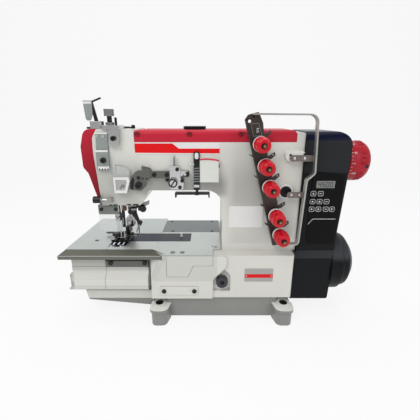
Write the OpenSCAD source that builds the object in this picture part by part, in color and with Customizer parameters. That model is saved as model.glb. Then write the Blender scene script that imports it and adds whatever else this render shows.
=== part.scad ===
// Flatbed coverstitch sewing machine head with a built-in motor, in millimetres.
// Origin: centre of the four foot bores on the floor plane. +X right, +Y away from the operator, +Z up.

/* [Feet and oil pan] */
// Spacing of the foot bores along X
foot_pitch_x = 234; // [210:2:250]
// Spacing of the foot bores along Y
foot_pitch_y = 140; // [124:2:150]
// Bore of each foot
foot_bore = 15; // [8:0.5:20]
// Distance from a foot's bore to its outer side
foot_out = 15; // [13:0.5:18]
// Distance from a foot's bore to its inner side at the pan
foot_in = 23; // [20:0.5:25]
// Height of a foot
foot_h = 33; // [24:1:40]
// Distance from a foot's bore to its rounded tip
foot_reach = 27; // [25:1:32]
// Height of the pan's underside above the floor
pan_lift = 3.5; // [2:0.5:12]
// Thickness of the flange on top of each foot
foot_flange = 6; // [4:0.5:10]
// How far a foot's body is set back under its flange
foot_inset = 2.5; // [1:0.25:4]
// Wall of the oil pan
pan_wall = 6; // [4:0.5:9]
// Front and back faces of the pan, measured from the middle
pan_half = 70; // [66:1:74]

/* [Bed] */
// Height where the bed casting stands on the pan
bed_floor = 48; // [44:1:52]
// Height of the bed casting's deck
bed_top = 134; // [130:1:138]
// Wall of the bed casting
bed_wall = 7; // [5:0.5:9]
// Front face of the block, in front of the middle
block_front = 80; // [78:1:84]
// Left end of the block's front face
block_left = 128; // [122:1:132]
// Back face of the bed
bed_back = 98; // [92:1:102]
// Left end of the looper box
box_left = 279; // [274:1:284]
// Front face of the looper box
box_front = 57; // [55:0.5:59]
// Underside of the looper box
box_floor = 58; // [56:0.5:60]
// Height of the recessed right part's set-back
step_in = 4; // [2:0.5:6]

/* [Plates] */
// Thickness of the cloth plates
plate_t = 3; // [2:0.25:4]
// Left edge of the plates
plate_left = 285.5; // [284:0.5:288]
// Seam between the left and right plates
plate_seam = 121; // [116:1:126]
// Gap around plates and covers
seam = 0.4; // [0.3:0.05:0.6]
// Width of the needle plate
needle_plate_w = 31; // [28:0.5:34]
// Front edge of the needle plate
needle_plate_front = 47; // [45:0.5:50]
// Right end of the dark filler strip
strip_right = 60; // [56:1:80]
// Width of the dark filler strip along Y
strip_w = 40; // [36:0.5:42]

/* [Arm and column] */
// Left face of the column
column_left = 0; // [-3:0.5:4]
// Right face of the column
column_right = 135; // [133:0.5:137]
// Front face of the arm and the column
arm_front = 55; // [53:0.5:57]
// Back face of the arm
arm_back = 32; // [29:1:36]
// Back face of the column
column_back = 52; // [48:1:56]
// Underside of the arm
arm_under = 247; // [244:1:250]
// Height of the rim under the top cover, above the arm shaft
rim_rise = 35.5; // [33:0.5:38]
// How far the head's top stands above the rim
head_rise = 20.5; // [19:0.5:23]
// Height of the red top cover above the rim
cover_rise = 19; // [17:0.5:20]
// How far the column's top stands above the rim
column_rise = 15.5; // [13:0.5:17]
// Radius in the throat's corner
throat_r = 28; // [20:1:34]
// Wall of the arm casting
arm_wall = 8; // [6:0.5:9]
// Left end of the head
head_left = 212; // [210:0.5:214]
// Right end of the head's lower part
head_right = 143; // [140:0.5:146]
// Underside of the head
head_under = 220; // [218:0.5:224]

/* [Covers] */
// Left end of the red top cover
cover_left = 145; // [142:0.5:146]
// Right end of the red top cover
cover_right = 120; // [112:0.5:122]
// Wall of the red covers
cover_wall = 3; // [2:0.25:4]
// How far the face cover stands out from the head
face_depth = 25; // [23:0.5:28]

/* [Shafts] */
// Distance of the shafts' axes in front of the middle
shaft_y = 15; // [13:0.5:17]
// Height of the arm shaft
arm_shaft_z = 292; // [289:0.5:294]
// Height of the lower shaft
main_shaft_z = 98; // [97:0.5:99]
// Diameter of both shafts
shaft_d = 16; // [14:0.5:18]
// Radial clearance of every running fit
run_fit = 0.04; // [0.02:0.01:0.08]
// Outer diameter of the shaft bearings
bearing_d = 28; // [25:0.5:30]
// Pitch diameter of both belt pulleys
pulley_d = 46; // [40:1:50]
// Width of the timing belt
belt_w = 12; // [8:0.5:14]
// Thickness of the timing belt
belt_t = 3; // [2:0.25:4]

/* [Motor housing] */
// Right face of the housing at its middle
housing_right = 209; // [207:0.5:212]
// Front face of the housing's upper part
housing_front = 60; // [58:0.5:62]
// Back face of the housing
housing_back = 46; // [42:1:50]
// Underside of the housing
housing_floor = 38; // [34:1:42]
// Top of the housing
housing_top = 344.5; // [342:0.5:348]
// Wall of the housing
housing_wall = 4; // [3:0.25:5]
// Diameter of the round motor cap
cap_d = 113.5; // [108:0.5:116]
// Length of the motor cap's cylindrical ring
cap_ring = 22; // [18:0.5:26]
// How far the motor cap stands out from the housing
cap_out = 39; // [35:0.5:43]

/* [Hand wheel] */
// Diameter of the hand wheel
wheel_d = 70; // [66:1:76]
// How far the hand wheel stands out from the housing
wheel_out = 47; // [43:0.5:53]
// Running gap between the hand wheel and the housing
wheel_gap = 3; // [2:0.5:4]

/* [Needle and presser] */
// Distance of the needle bar left of the middle
needle_x = 195; // [194:0.5:196]
// Diameter of the needle bar
needle_bar_d = 8; // [7:0.25:9]
// Stroke of the needle bar
needle_stroke = 31; // [28:0.5:32]
// Spacing of the three needles
needle_gauge = 3.2; // [2.8:0.1:3.6]
// Diameter of a needle
needle_d = 1.2; // [1:0.1:1.6]
// Height of the needle points at the top of the stroke
needle_tip_z = 152; // [150:0.5:156]
// Distance of the presser bar left of the middle
presser_x = 181; // [180:0.5:182]
// Distance of the presser bar behind the middle
presser_y = 15; // [14.5:0.5:16]
// Diameter of the presser bar
presser_bar_d = 9; // [8:0.25:10]
// Gap between the lowered foot and the feed dogs
foot_gap = 0.4; // [0.3:0.05:0.8]

/* [Feed and looper] */
// Height of the feed teeth above the plates
dog_rise = 0.8; // [0.4:0.1:1.2]
// Travel of a feed dog each way
feed_travel = 2; // [1:0.25:3]
// Width of a feed dog's row of teeth
dog_w = 3; // [2:0.25:4]
// Length of a row of teeth
dog_l = 13; // [10:0.5:14]
// Distance of the looper's pivot left of the middle
looper_x = 216; // [214:0.5:220]
// Height of the looper's pivot
looper_z = 72; // [70:0.5:74]
// Diameter of the looper's rocker shaft
looper_shaft_d = 10; // [8:0.5:12]

/* [Thread tensions] */
// Number of tension knobs
knob_count = 5; // [3:1:5]
// Diameter of a tension knob
knob_d = 24.5; // [22:0.5:27]
// Length of a tension knob
knob_l = 28; // [22:0.5:32]
// Spacing of the knobs along the bracket
knob_pitch = 35.3; // [33:0.1:37]
// Extra gap above the lower pair of knobs
knob_break = 15; // [10:0.5:18]
// Lean of the tension bracket
tension_tilt = 15; // [12:0.5:18]
// Place of the middle knob along X
tension_x = 75.5; // [72:0.5:79]
// Height of the middle knob
tension_z = 258; // [255:0.5:262]
// Stand-off of the bracket from the column
bracket_off = 11; // [9:0.5:13]
// Sheet of the bracket
bracket_t = 2; // [1.5:0.25:3]
// Diameter of a tension post
post_d = 6; // [5:0.25:7]
// Diameter of the tension discs
disc_d = 22; // [18:0.5:24]
// Thickness of the guard strip
guard_t = 2.5; // [1.5:0.25:3.5]
// Width of the guard strip
guard_w = 10; // [8:0.5:12]

/* [Hidden] */
$fn = 48;
touch = 0.01;
plate_top = bed_top + plate_t;
rim_z = arm_shaft_z + rim_rise;
arm_top = rim_z + head_rise;
red_top = rim_z + cover_rise;
column_top = rim_z + column_rise;
edge_low = plate_top - 12;
block_right = column_right - 7;
foot_edge = foot_pitch_x / 2 + foot_out;
facet_x = [-126.6, -101];
facet_angle = atan2(block_front - box_front, facet_x[1] - facet_x[0]);
joint_gap = 0.3;
screw_d = 8;
screw_h = 3;
bar_top_z = arm_top + 1;
spring_low = head_under + 52;
bush_d = 16;
needle_bar_z0 = needle_tip_z + 28;
clamp_h = 14;
clamp_d = 13;
bracket_y = -(arm_front + bracket_off);
post_l = bracket_off + bracket_t + 47;
knob_y0 = bracket_y - bracket_t - 14;
box_right = 134;
panel_x0 = 150;
ledge = 6;
wheel_left = housing_right + 1 + wheel_gap;
wheel_right = housing_right + wheel_out;
cap_right = housing_right + cap_out;
dog_top = plate_top + dog_rise;
sole_z = dog_top + foot_gap;
foot_pin_z = sole_z + 9;
foot_pin_y = 2;
needle_y = -shaft_y - 4;
cap_left = housing_right - 9;
motor_l = cap_ring - 7;
rotor_d = 58;
belt_x = 166;
crank_x = 172;
crank_w = 8;
crank_r = needle_stroke / 2;
filler_x = -48;
filler_d = 24;
sight_x = -171;
press_x = -187;
press_y = -38;
press_d = 8;
thumb_x = -213;
thumb_d = 12;
thumb_z = head_under + 12;
lever_x = 209;
lever_y = 35;
lever_z = arm_top + 7;
lever_pin_d = 3.5;
spreader_x = 163;
spreader_y = 34;
cover_screw_x = [-139, -54.5, 29];
cover_screw_z = rim_z + 13;
pocket_depth = 1.5;
toe_y = -30;
strap_x = [tension_x + 38, tension_x + 53.5];
strap_z = [tension_z + 45, tension_z - 16];
arm_mid = (arm_under + rim_z) / 2;
label_low = rim_z - 19.5;
button_z = 83;
button_x = 0;
nose_x = -17;
plug_x = 108;
plug_z = 244;
plug_d = 15;
button_d = 21;

// ---- Shape helpers ----

function unit(v) = v / norm(v);

// Arc that rounds corner b between a and c, in n steps
function corner(a, b, c, r, n) =
    let (u = unit(a - b), v = unit(c - b), half = acos(u * v) / 2,
         m = b + unit(u + v) * r / sin(half),
         p = b + u * r / tan(half) - m, q = b + v * r / tan(half) - m,
         start = atan2(p.y, p.x), turn = (atan2(q.y, q.x) - start + 540) % 360 - 180)
    [for (k = [0:n]) m + r * [cos(start + turn * k / n), sin(start + turn * k / n)]];

// Closed outline from corners [x, y, radius]
function rounded(pts, n = 6) =
    [for (i = [0:len(pts) - 1])
        let (k = len(pts), a = pts[(i + k - 1) % k], b = pts[i], c = pts[(i + 1) % k])
        each (b[2] == 0 ? [[b.x, b.y]] : corner([a.x, a.y], [b.x, b.y], [c.x, c.y], b[2], n))];

// Rectangle outline with one corner radius
function rect(x0, y0, x1, y1, r = 0) = [[x0, y0, r], [x1, y0, r], [x1, y1, r], [x0, y1, r]];

// Extrudes an XZ outline from y0 to y1
module along_y(y0, y1, pts, n = 6)
    translate([0, y1, 0]) rotate([90, 0, 0]) linear_extrude(y1 - y0) polygon(rounded(pts, n));

// Extrudes a YZ outline from x0 to x1
module along_x(x0, x1, pts, n = 6)
    translate([x0, 0, 0]) rotate([90, 0, 90]) linear_extrude(x1 - x0) polygon(rounded(pts, n));

// Extrudes an XY outline from z0 to z1
module along_z(z0, z1, pts, n = 6)
    translate([0, 0, z0]) linear_extrude(z1 - z0) polygon(rounded(pts, n));

// Box between two corners
module box(a, b) translate(a) cube(b - a);

// Round bar along X, Y or Z that starts at p
module bar_x(p, l, d) translate(p) rotate([0, 90, 0]) cylinder(h = l, d = d);
module bar_y(p, l, d) translate(p) rotate([-90, 0, 0]) cylinder(h = l, d = d);
module bar_z(p, l, d) translate(p) cylinder(h = l, d = d);

// Round bar between two points
module rod(a, b, d) {
    v = b - a;
    translate(a) rotate([0, acos(v.z / norm(v)), atan2(v.y, v.x)]) cylinder(h = norm(v), d = d);
}

// One side of a path [x, y, radius], d to its left, with the bend radii that fit
function side(path, d) = [for (i = [0:len(path) - 1])
    let (k = len(path) - 1, p = [path[i].x, path[i].y],
         u = unit([path[max(i, 1)].x - path[max(i, 1) - 1].x, path[max(i, 1)].y - path[max(i, 1) - 1].y]),
         v = unit([path[min(i, k - 1) + 1].x - path[min(i, k - 1)].x,
                   path[min(i, k - 1) + 1].y - path[min(i, k - 1)].y]),
         m = unit([-u.y - v.y, u.x + v.x]), q = p + m * d / (m.y * u.x - m.x * u.y),
         turn = sign(u.x * v.y - u.y * v.x))
    [q.x, q.y, path[i][2] == 0 ? 0 : path[i][2] - turn * d]];

// Outline of a strip of thickness t, bent along a path [x, y, radius]
function ribbon(path, t) = let (a = side(path, t / 2), b = side(path, -t / 2), k = len(path) - 1)
    concat(a, [for (i = [0:k]) b[k - i]]);

// Screw head with a slot-free hexagon socket; its seat is at p and it faces -Y
module front_screw(p, d = screw_d, h = screw_h)
    translate(p) rotate([90, 0, 0]) difference() {
        cylinder(h = h, d = d);
        translate([0, 0, h / 2]) cylinder(h = h, d = d * 0.5, $fn = 6);
    }

// ---- Pan and bed ----

foot_xy = [for (i = [-1, 1], j = [-1, 1]) [i * foot_pitch_x / 2, j * foot_pitch_y / 2]];

// Outline of the front right foot round its bore, shrunk by g
function foot_outline(g) = [[-foot_in + g, 0, 0], [-foot_in + 6 + g, -foot_reach + g, 13 - g],
    [foot_out - g, -foot_reach + g, 12 - g], [foot_out - g, 0, 0]];

// Puts its children at each foot, mirrored so that +X points outwards and -Y to the tip
module at_feet() for (p = foot_xy) translate(p)
    mirror([p.x < 0 ? 1 : 0, 0, 0]) mirror([0, p.y > 0 ? 1 : 0, 0]) children();

module oil_pan() color([0.62, 0.62, 0.59]) {
    end = foot_edge - 8;
    root = foot_pitch_y / 2 - pan_half + foot_out + 7;
    difference() {
        union() {
            along_z(pan_lift, bed_floor, rect(-end, -pan_half, end, pan_half, 6));
            at_feet() {
                along_z(0, foot_h, foot_outline(foot_inset), 8);
                along_z(foot_h - foot_flange, foot_h, foot_outline(0), 8);
                box([-foot_in + foot_inset, -touch, 0], [foot_out - foot_inset, root, foot_h]);
            }
        }
        along_z(pan_lift + pan_wall, bed_floor + 1, rect(-end + foot_in + foot_out, -pan_half + pan_wall,
            end - foot_in - foot_out, pan_half - pan_wall, 4));
        at_feet() {
            bar_z([0, 0, -1], bed_floor, foot_bore);
            bar_z([0, 0, foot_h], bed_floor, foot_bore + 14);
            box([-foot_in - 3, -foot_reach, foot_h], [foot_out + 3, 0, bed_floor + foot_h]);
        }
    }
}

// Front block with its faceted left end
module block_body() {
    back = bed_back;
    front = -block_front;
    hull() {
        along_z(bed_floor, bed_floor + 8, [[-block_left, front, 0], [nose_x, front, 0], [nose_x, back, 0],
            [-block_left - 4, back, 0], [-block_left - 4, -box_front, 0]]);
        along_z(91, bed_top, [[facet_x[1], front, 0], [nose_x, front, 0], [nose_x, back, 0],
            [-block_left - 4, back, 0], [-block_left - 4, -box_front, 0], [facet_x[0], -box_front, 0]]);
    }
    along_z(bed_floor, bed_top, [[nose_x - 1, front + step_in, 0], [block_right, front + step_in, 3],
        [block_right, back, 10], [nose_x - 1, back, 0]]);
    // Nose of the block with its swept right end
    along_y(front, front + 10, [[nose_x - 1, bed_floor, 0], [nose_x, bed_floor, 0], [nose_x + 1.5, 88, 8],
        [7, 112, 9], [10.5, bed_top, 7], [nose_x - 1, bed_top, 0]]);
}

module bed_casting() color([0.86, 0.86, 0.83]) difference() {
    shaft = [-shaft_y, main_shaft_z];
    union() {
        block_body();
        // Looper box
        along_z(box_floor, bed_top, [[-box_left, -box_front, 4], [-box_right, -box_front, 0],
            [-box_right, bed_back, 0], [-box_left, bed_back, 14]]);
        // Sloping sump under the looper box
        along_y(-box_front - 10, 60, [[-254, box_floor, 0], [-250, 38, 3], [-foot_edge - 1, 26, 0],
            [-foot_edge - 1, foot_h + 1, 0], [-block_left, foot_h + 1, 0], [-block_left, box_floor, 0]]);
    }
    // Room for the edge plate in front of the facet
    along_z(edge_low - 0.5, bed_top + 1, [[-block_left - 6, -box_front, 0], [facet_x[0], -box_front, 0],
        [facet_x[1], -block_front, 0], [facet_x[1], -block_front - 10, 0],
        [-block_left - 6, -block_front - 10, 0]]);
    // Hollow of the block
    along_z(bed_floor - 1, bed_top - bed_wall, rect(-block_left + bed_wall + 4,
        -block_front + bed_wall + 12, block_right - bed_wall, bed_back - bed_wall, 6));
    // Hollow of the looper box, open at the top and the front
    along_z(box_floor + bed_wall, bed_top + 1, rect(-box_left + bed_wall, -box_front + bed_wall,
        -box_right - bed_wall + 6, bed_back - bed_wall, 5));
    box([-box_left + bed_wall + 6, -box_front - 1, box_floor + bed_wall + 4],
        [-box_right - bed_wall, -box_front + bed_wall + 1, bed_top - 18]);
    // Hollow of the sump, and the drain into it
    along_y(-box_front - 3, 53, [[-245, box_floor, 0], [-242, 44, 3], [-foot_edge - bed_wall - 1, 33, 0],
        [-foot_edge - bed_wall - 1, box_floor, 0]]);
    box([-needle_x - 5, -box_front + 9, box_floor - 1],
        [-needle_x + 13, -box_front + 34, box_floor + bed_wall + 1]);
    // Way up into the column
    along_z(bed_top - bed_wall - 1, bed_top + 1, rect(column_left + 20, -arm_front + 22,
        column_right - 22, column_back - 14, 8));
    // Lower shaft's bearing bores
    bar_x([-box_right - 10, shaft[0], shaft[1]], 30, bearing_d);
    bar_x([block_right - bed_wall - 1, shaft[0], shaft[1]], bed_wall + 2, bearing_d);
    // Arched recess of the stitch length button, and the lever's slot
    along_y(-block_front + step_in - touch, -block_front + step_in + 6,
        [[button_x - 15, button_z - 21, 0], [button_x + 15, button_z - 21, 0],
        [button_x + 15, button_z + 13, 11], [button_x, button_z + 26, 5],
        [button_x - 15, button_z + 13, 11]]);
    bar_y([button_x, -block_front, button_z], 30, 12 + 2 * run_fit);
    // Pocket of the block panel
    along_y(-block_front - 1, -block_front + plate_t, panel_outline(0));
}

// Outline of the block's front panel, shrunk by a gap
function panel_outline(g) = [[-99 + g, 93 + g, 0], [-61 - g * 0.6, 93 + g, 0],
    [-51 - g * 0.6, 115 + g, 0], [-16 - g, 115 + g, 0], [-16 - g, bed_top, 0], [-99 + g, bed_top, 0]];

module block_panel() color([0.88, 0.88, 0.85])
    along_y(-block_front, -block_front + plate_t, panel_outline(seam));

module block_cap() color([0.87, 0.87, 0.84])
    along_y(-block_front - 1.5, -block_front, rect(-112, 56, -43, 74, 2), 3);

// ---- Plates ----

plate_z = [bed_top, plate_top];
needle_plate_x = -needle_x - needle_plate_w / 2;
strip_back = 18;

module slide_plate() color([0.72, 0.74, 0.76]) along_z(plate_z[0], plate_z[1], [
    [-plate_left, -box_front, 2], [needle_plate_x - seam, -box_front, 0],
    [needle_plate_x - seam, strip_back + seam, 0], [-plate_seam - seam, strip_back + seam, 0],
    [-plate_seam - seam, bed_back + 12, 2], [-plate_left + 8, bed_back + 12, 6]]);

module front_plate() color([0.78, 0.79, 0.8]) difference() {
    right = column_left - 1.5;
    along_z(plate_z[0], plate_z[1], [[needle_plate_x, -box_front, 0], [-126, -box_front, 0],
        [-102, -block_front + plate_t, 0], [-16, -block_front + plate_t, 0], [-16, -arm_front, 0],
        [right, -arm_front, 0], [right, strip_back + 7, 0], [-plate_seam, strip_back + 7, 0],
        [-plate_seam, strip_back, 0], [needle_plate_x, strip_back, 0]]);
    // Opening of the needle plate and the strip
    box([needle_plate_x - 1, -needle_plate_front, bed_top - 1],
        [needle_plate_x + needle_plate_w + seam, strip_back + 1, plate_top + 1]);
    box([needle_plate_x, strip_back - strip_w - seam, bed_top - 1],
        [-strip_right + seam, strip_back + seam, plate_top + 1]);
}

module rear_plate() color([0.6, 0.63, 0.66])
    along_z(plate_z[0], plate_z[1], [[-plate_seam, strip_back + 7 + seam, 0],
        [column_left - 1.5, strip_back + 7 + seam, 0], [column_left - 1.5, bed_back, 1],
        [-plate_seam, bed_back, 1]]);

// Offsets of the feed dog rows from the needle line
dog_rows = [-9, 0, 9];
front_dog_y = -38;
rear_dog_y = -7;

module needle_plate() color([0.16, 0.17, 0.3]) difference() {
    box([needle_plate_x + seam, -needle_plate_front + seam, bed_top],
        [needle_plate_x + needle_plate_w, strip_back - 0.2, plate_top]);
    // Slots of the feed dogs
    for (i = dog_rows, y = [front_dog_y, rear_dog_y])
        translate([-needle_x + i - dog_w / 2 - 0.5, y - feed_travel - 0.6, bed_top - 1])
            cube([dog_w + 1, dog_l + 2 * feed_travel + 1.2, plate_t + 2]);
    // Needle drops
    for (i = [-1:1]) bar_z([-needle_x + i * needle_gauge, needle_y, bed_top - 1], plate_t + 2,
        needle_d + 0.8);
}

module filler_strip() color([0.17, 0.2, 0.33]) difference() {
    box([needle_plate_x + needle_plate_w + seam, strip_back - strip_w, bed_top],
        [-strip_right, strip_back - 0.2, plate_top]);
    bar_z([-strip_right - 19, strip_back - 8, bed_top - 1], plate_t + 2, 6);
}

module edge_plate() color([0.45, 0.45, 0.44]) {
    back = -box_front - seam;
    front = -75;
    difference() {
        along_x(-293, -102, [[back, bed_top - 0.5, 0], [back, plate_top, 0], [front, plate_top - 5, 0],
            [front, edge_low, 0], [front + 5, edge_low, 0], [back - 1, bed_top - 4, 0]]);
        // Mitred ends
        translate([facet_x[0] - seam - 0.2, back, 100]) rotate([0, 0, -facet_angle])
            translate([-10, 0, 0]) cube([60, 60, 60]);
        translate([-plate_left + 1, back, 100]) rotate([0, 0, 66]) translate([-20, 0, 0])
            cube([60, 60, 60]);
    }
}

// ---- Looper covers ----

cover_top = 104;
cover_profile = [[-box_front - 5, cover_top, 0], [-box_front - 5, 93, 0], [-box_front - 17, 84, 0],
    [-box_front - 17, box_floor + 4, 3], [-box_front - 13, box_floor + 4, 0], [-box_front - 13, 82, 0],
    [-box_front - joint_gap, 91, 0], [-box_front - joint_gap, cover_top, 0]];

module front_cover() color([0.88, 0.88, 0.85]) along_x(-213, -box_right - 1, cover_profile);

module cover_strip() color([0.7, 0.7, 0.68]) {
    front = -box_front - 6;
    box([-213, front, cover_top], [-box_right - 1, -box_front - joint_gap, cover_top + 12]);
    for (x = [-205, -142]) front_screw([x, front + touch, cover_top + 6.5], 8, 2);
}

module side_cover() color([0.88, 0.88, 0.85]) difference() {
    union() {
        along_x(-276, -213 - seam, cover_profile);
        along_x(-276, -213 - seam, [[-box_front - 4, cover_top - 1, 0],
            [-box_front - joint_gap, cover_top - 1, 0], [-box_front - joint_gap, cover_top + 14, 0],
            [-box_front - 4, cover_top + 14, 0]]);
        along_x(-281, -270, [[-box_front - 5, 90, 0], [-box_front - 16, 84, 0],
            [-box_front - 17, box_floor + 4, 3], [-box_front - joint_gap, box_floor + 4, 0],
            [-box_front - joint_gap, 90, 0]]);
    }
    // Finger recess in the left end
    bar_y([-284, -box_front - 20, 77], 12, 24);
}

// ---- Arm ----

// Left edge of the head in XZ from top to bottom, moved out by g
function head_edge(g) = [[-head_left + 7 - g, arm_top, 0], [-head_left - 1.5 - g, arm_top - 14, 0],
    [-head_left - 3.5 - g, arm_top - 37, 0], [-head_left - 0.5 - g, arm_top - 75, 0],
    [-head_left + 2.5 - g, head_under, 0]];

// Outline of the arm casting in XZ
arm_outline = concat([[-cover_left, arm_top, 2], [-cover_left, rim_z, 0], [cover_right, rim_z, 0],
    [cover_right, column_top, 2], [column_right, column_top, 6], [column_right, bed_top, 0],
    [column_left, bed_top, 0], [column_left, arm_under, throat_r], [-126, arm_under, 0],
    [-head_right + 4, head_under + 4, 0], [-head_right, head_under, 0]],
    [for (i = [4:-1:0]) head_edge(0)[i]]);

module arm_casting() color([0.9, 0.9, 0.88]) difference() {
    axis = [-shaft_y, arm_shaft_z];
    intersection() {
        along_y(-arm_front, column_back, arm_outline, 8);
        union() {
            along_z(bed_top - 1, arm_top + 1, [[column_left - 40, -arm_front, 0],
                [column_right, -arm_front, 3], [column_right, column_back, 12],
                [column_left - 40, column_back, 12]]);
            along_z(head_under - 1, arm_top + 1, [[-head_left - 5, -arm_front, 8],
                [column_left, -arm_front, 0], [column_left, arm_back, 0], [-head_left - 5, arm_back, 8]]);
        }
    }
    // Hollow of the column
    along_z(bed_top - 1, rim_z - arm_wall, rect(column_left + arm_wall + 4, -arm_front + arm_wall,
        column_right - arm_wall, column_back - arm_wall, 8));
    // Hollow of the arm, open under the top cover
    box([-cover_left + arm_wall, -arm_front + arm_wall, arm_under + arm_wall],
        [cover_right - arm_wall, arm_back - arm_wall, rim_z + 1]);
    // Hollow of the head, open at its left end
    along_x(-head_left - 5, -cover_left - 4, [[-arm_front + arm_wall, head_under + arm_wall + 2, 4],
        [arm_back - arm_wall, head_under + arm_wall + 2, 4], [arm_back - arm_wall, arm_top - arm_wall, 4],
        [-arm_front + arm_wall, arm_top - arm_wall, 4]]);
    // Arm shaft's bearing bores
    bar_x([-cover_left - 6, axis[0], axis[1]], 20, bearing_d);
    bar_x([column_right - arm_wall - 2, axis[0], axis[1]], arm_wall + 4, bearing_d);
    // Bores of the needle bar and presser bar bushes
    for (p = [[-needle_x, -shaft_y], [-presser_x, presser_y]])
        bar_z([p.x, p.y, head_under - 5], arm_top, bush_d);
    // Plug hole of the column
    bar_y([plug_x, -arm_front - 1, plug_z], arm_wall + 2, plug_d);
    // Sight glass in the head's top
    bar_z([sight_x, -8, arm_top - arm_wall - 1], arm_wall + 2, 18);
    // Spreader's bore
    bar_z([-spreader_x, -spreader_y, head_under - 1], 14, 8 + 2 * run_fit);
    // Pressure screw's bore
    bar_z([press_x, press_y, arm_top - arm_wall - 1], arm_wall + 2, press_d + 2 * run_fit);
}

// Outer form of the top cover, shrunk by a wall g
module top_cover_form(g) intersection() {
    along_x(-cover_left, cover_right, [[-arm_front + g, rim_z - g, 0], [arm_back - g, rim_z - g, 0],
        [arm_back - g, red_top - g, 10 - g], [-arm_front + g, red_top - g, 7 - g]], 8);
    along_y(-arm_front - 1, column_back, [[-cover_left + seam + g, rim_z - g, 0],
        [-cover_left + seam + g, red_top - g, 7 - g], [cover_right - seam - g, red_top - g, 7 - g],
        [cover_right - seam - g, rim_z - g, 0]], 8);
}

module top_cover() color([0.75, 0.13, 0.2]) difference() {
    top_cover_form(0);
    top_cover_form(cover_wall);
    bar_z([filler_x, -shaft_y, red_top - 10], 20, filler_d);
    // Scalloped pockets of the cover screws
    for (x = cover_screw_x) bar_y([x, -arm_front - 1, cover_screw_z], 1 + pocket_depth, 10);
}

// Left side of the face cover in XZ from bottom to top, shrunk by g
function face_edge(g) = [[-head_left - 2.5 + g, head_under - 5 + g, 1.5],
    [-head_left - 17.5 + g, arm_top - 73, 8], [-head_left - face_depth + g, arm_top - 63, 10],
    [-head_left - face_depth + g, arm_top - 28, 20], [-head_left - 17 + g, arm_top - g, 14 - g]];

module face_cover() color([0.76, 0.13, 0.21]) difference() {
    shell_y = [-arm_front + 8, arm_back - 4];
    along_y(shell_y[0], shell_y[1], concat(face_edge(0), head_edge(seam),
        [[-head_left + 2.5 - seam, head_under - 5, 0]]), 8);
    // Hollow, open towards the head
    along_y(shell_y[0] + cover_wall, shell_y[1] - cover_wall,
        concat(face_edge(cover_wall), [[-head_left + 9, arm_top - cover_wall, 0],
        [-head_left + 9, head_under - 5 + cover_wall, 0]]), 8);
}

// ---- Motor housing ----

// Outline of the housing in XZ, shrunk by g, with its left side at x
function housing_outline(g, x) = [[x, housing_floor + g, 3 - g / 4],
    [housing_right - 9 - g, housing_floor + g, 5 - g / 2], [housing_right - 5 - g, 170, 90],
    [housing_right - 0.5 - g, 262, 60], [housing_right + 1 - g, housing_top - g, 24 - g],
    [column_right + joint_gap + g, housing_top - g, 3 - g / 4]];

module housing_outer() intersection() {
    along_y(-housing_front - 8, housing_back, concat(housing_outline(0, block_right + joint_gap),
        [[column_right + joint_gap, bed_top - joint_gap, 0],
        [block_right + joint_gap, bed_top - joint_gap, 0]]), 8);
    along_x(block_right, housing_right + 4, [[-housing_front - ledge, housing_floor, 2],
        [housing_back, housing_floor, 6], [housing_back, housing_top, 16],
        [-housing_front, housing_top, 16], [-housing_front, 136, 0], [-housing_front - ledge, 123, 0]],
        8);
}

module motor_housing() color([0.13, 0.14, 0.16]) difference() {
    housing_outer();
    // Inside of the shell
    intersection() {
        along_y(-housing_front - 8, housing_back, housing_outline(housing_wall,
            column_right + housing_wall), 8);
        along_x(column_right, housing_right + 4, [[-housing_front - ledge + housing_wall, housing_floor,
            2], [housing_back - housing_wall, housing_floor, 2],
            [housing_back - housing_wall, housing_top - housing_wall, 12],
            [-housing_front + housing_wall, housing_top - housing_wall, 12],
            [-housing_front + housing_wall, 138, 0], [-housing_front - ledge + housing_wall, 125, 0]], 8);
    }
    // Motor seat, room for the motor cap, and the shafts' openings
    bar_x([cap_left, -shaft_y, main_shaft_z], 20, cap_d + 2 * joint_gap);
    bar_x([cap_left - housing_wall - 1, -shaft_y, main_shaft_z], 30, cap_d - 14);
    bar_x([block_right - 1, -shaft_y, main_shaft_z], 20, bearing_d + 4);
    bar_x([column_right - 1, -shaft_y, arm_shaft_z], 20, bearing_d + 4);
    bar_x([housing_right - 20, -shaft_y, arm_shaft_z], 40, shaft_d + 12);
}

module motor_cap() color([0.15, 0.16, 0.18]) {
    r = cap_d / 2;
    end = cap_left + cap_ring;
    translate([0, -shaft_y, main_shaft_z]) rotate([0, 90, 0]) rotate_extrude($fn = 64)
        polygon(rounded([[r - 4, cap_left, 0], [r - 1.5, cap_left, 0], [r, cap_left + 1.5, 0],
            [r, end - 1, 1.5], [r - 4, end + 2, 2], [r - 6, cap_right - 13, 8], [r - 24, cap_right, 16],
            [0, cap_right, 0], [0, cap_right - 4, 0], [r - 26, cap_right - 4, 12],
            [r - 10, cap_right - 14, 6], [r - 8, end + 1, 0], [r - 8, end - 3, 0], [r - 4, end - 4, 0]],
            5));
}

module control_panel() color([0.05, 0.05, 0.06]) {
    difference() {
        along_y(-housing_front - 1.2, -housing_front, [[panel_x0, 150, 6], [200, 150, 6], [204, 275, 4],
            [panel_x0, 281, 4]]);
        box([157, -housing_front - 2, 252], [189, -housing_front - 0.8, 265]);
    }
    for (row = [[243, 2], [229, 3], [215.5, 4]], i = [0:row[1] - 1])
        bar_y([154 + i * 11.8, -housing_front - 1.8, row[0]], 0.7, 9);
}

// ---- Shafts and motor ----

module pulley(x) translate([x, 0, 0]) rotate([0, 90, 0]) {
    cylinder(h = belt_w, d = pulley_d - belt_t);
    for (z = [-2.4, belt_w + 0.4]) translate([0, 0, z]) cylinder(h = 2, d = pulley_d + 6);
    translate([0, 0, -1]) cylinder(h = belt_w + 2, d = pulley_d - belt_t - 3);
}

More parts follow.
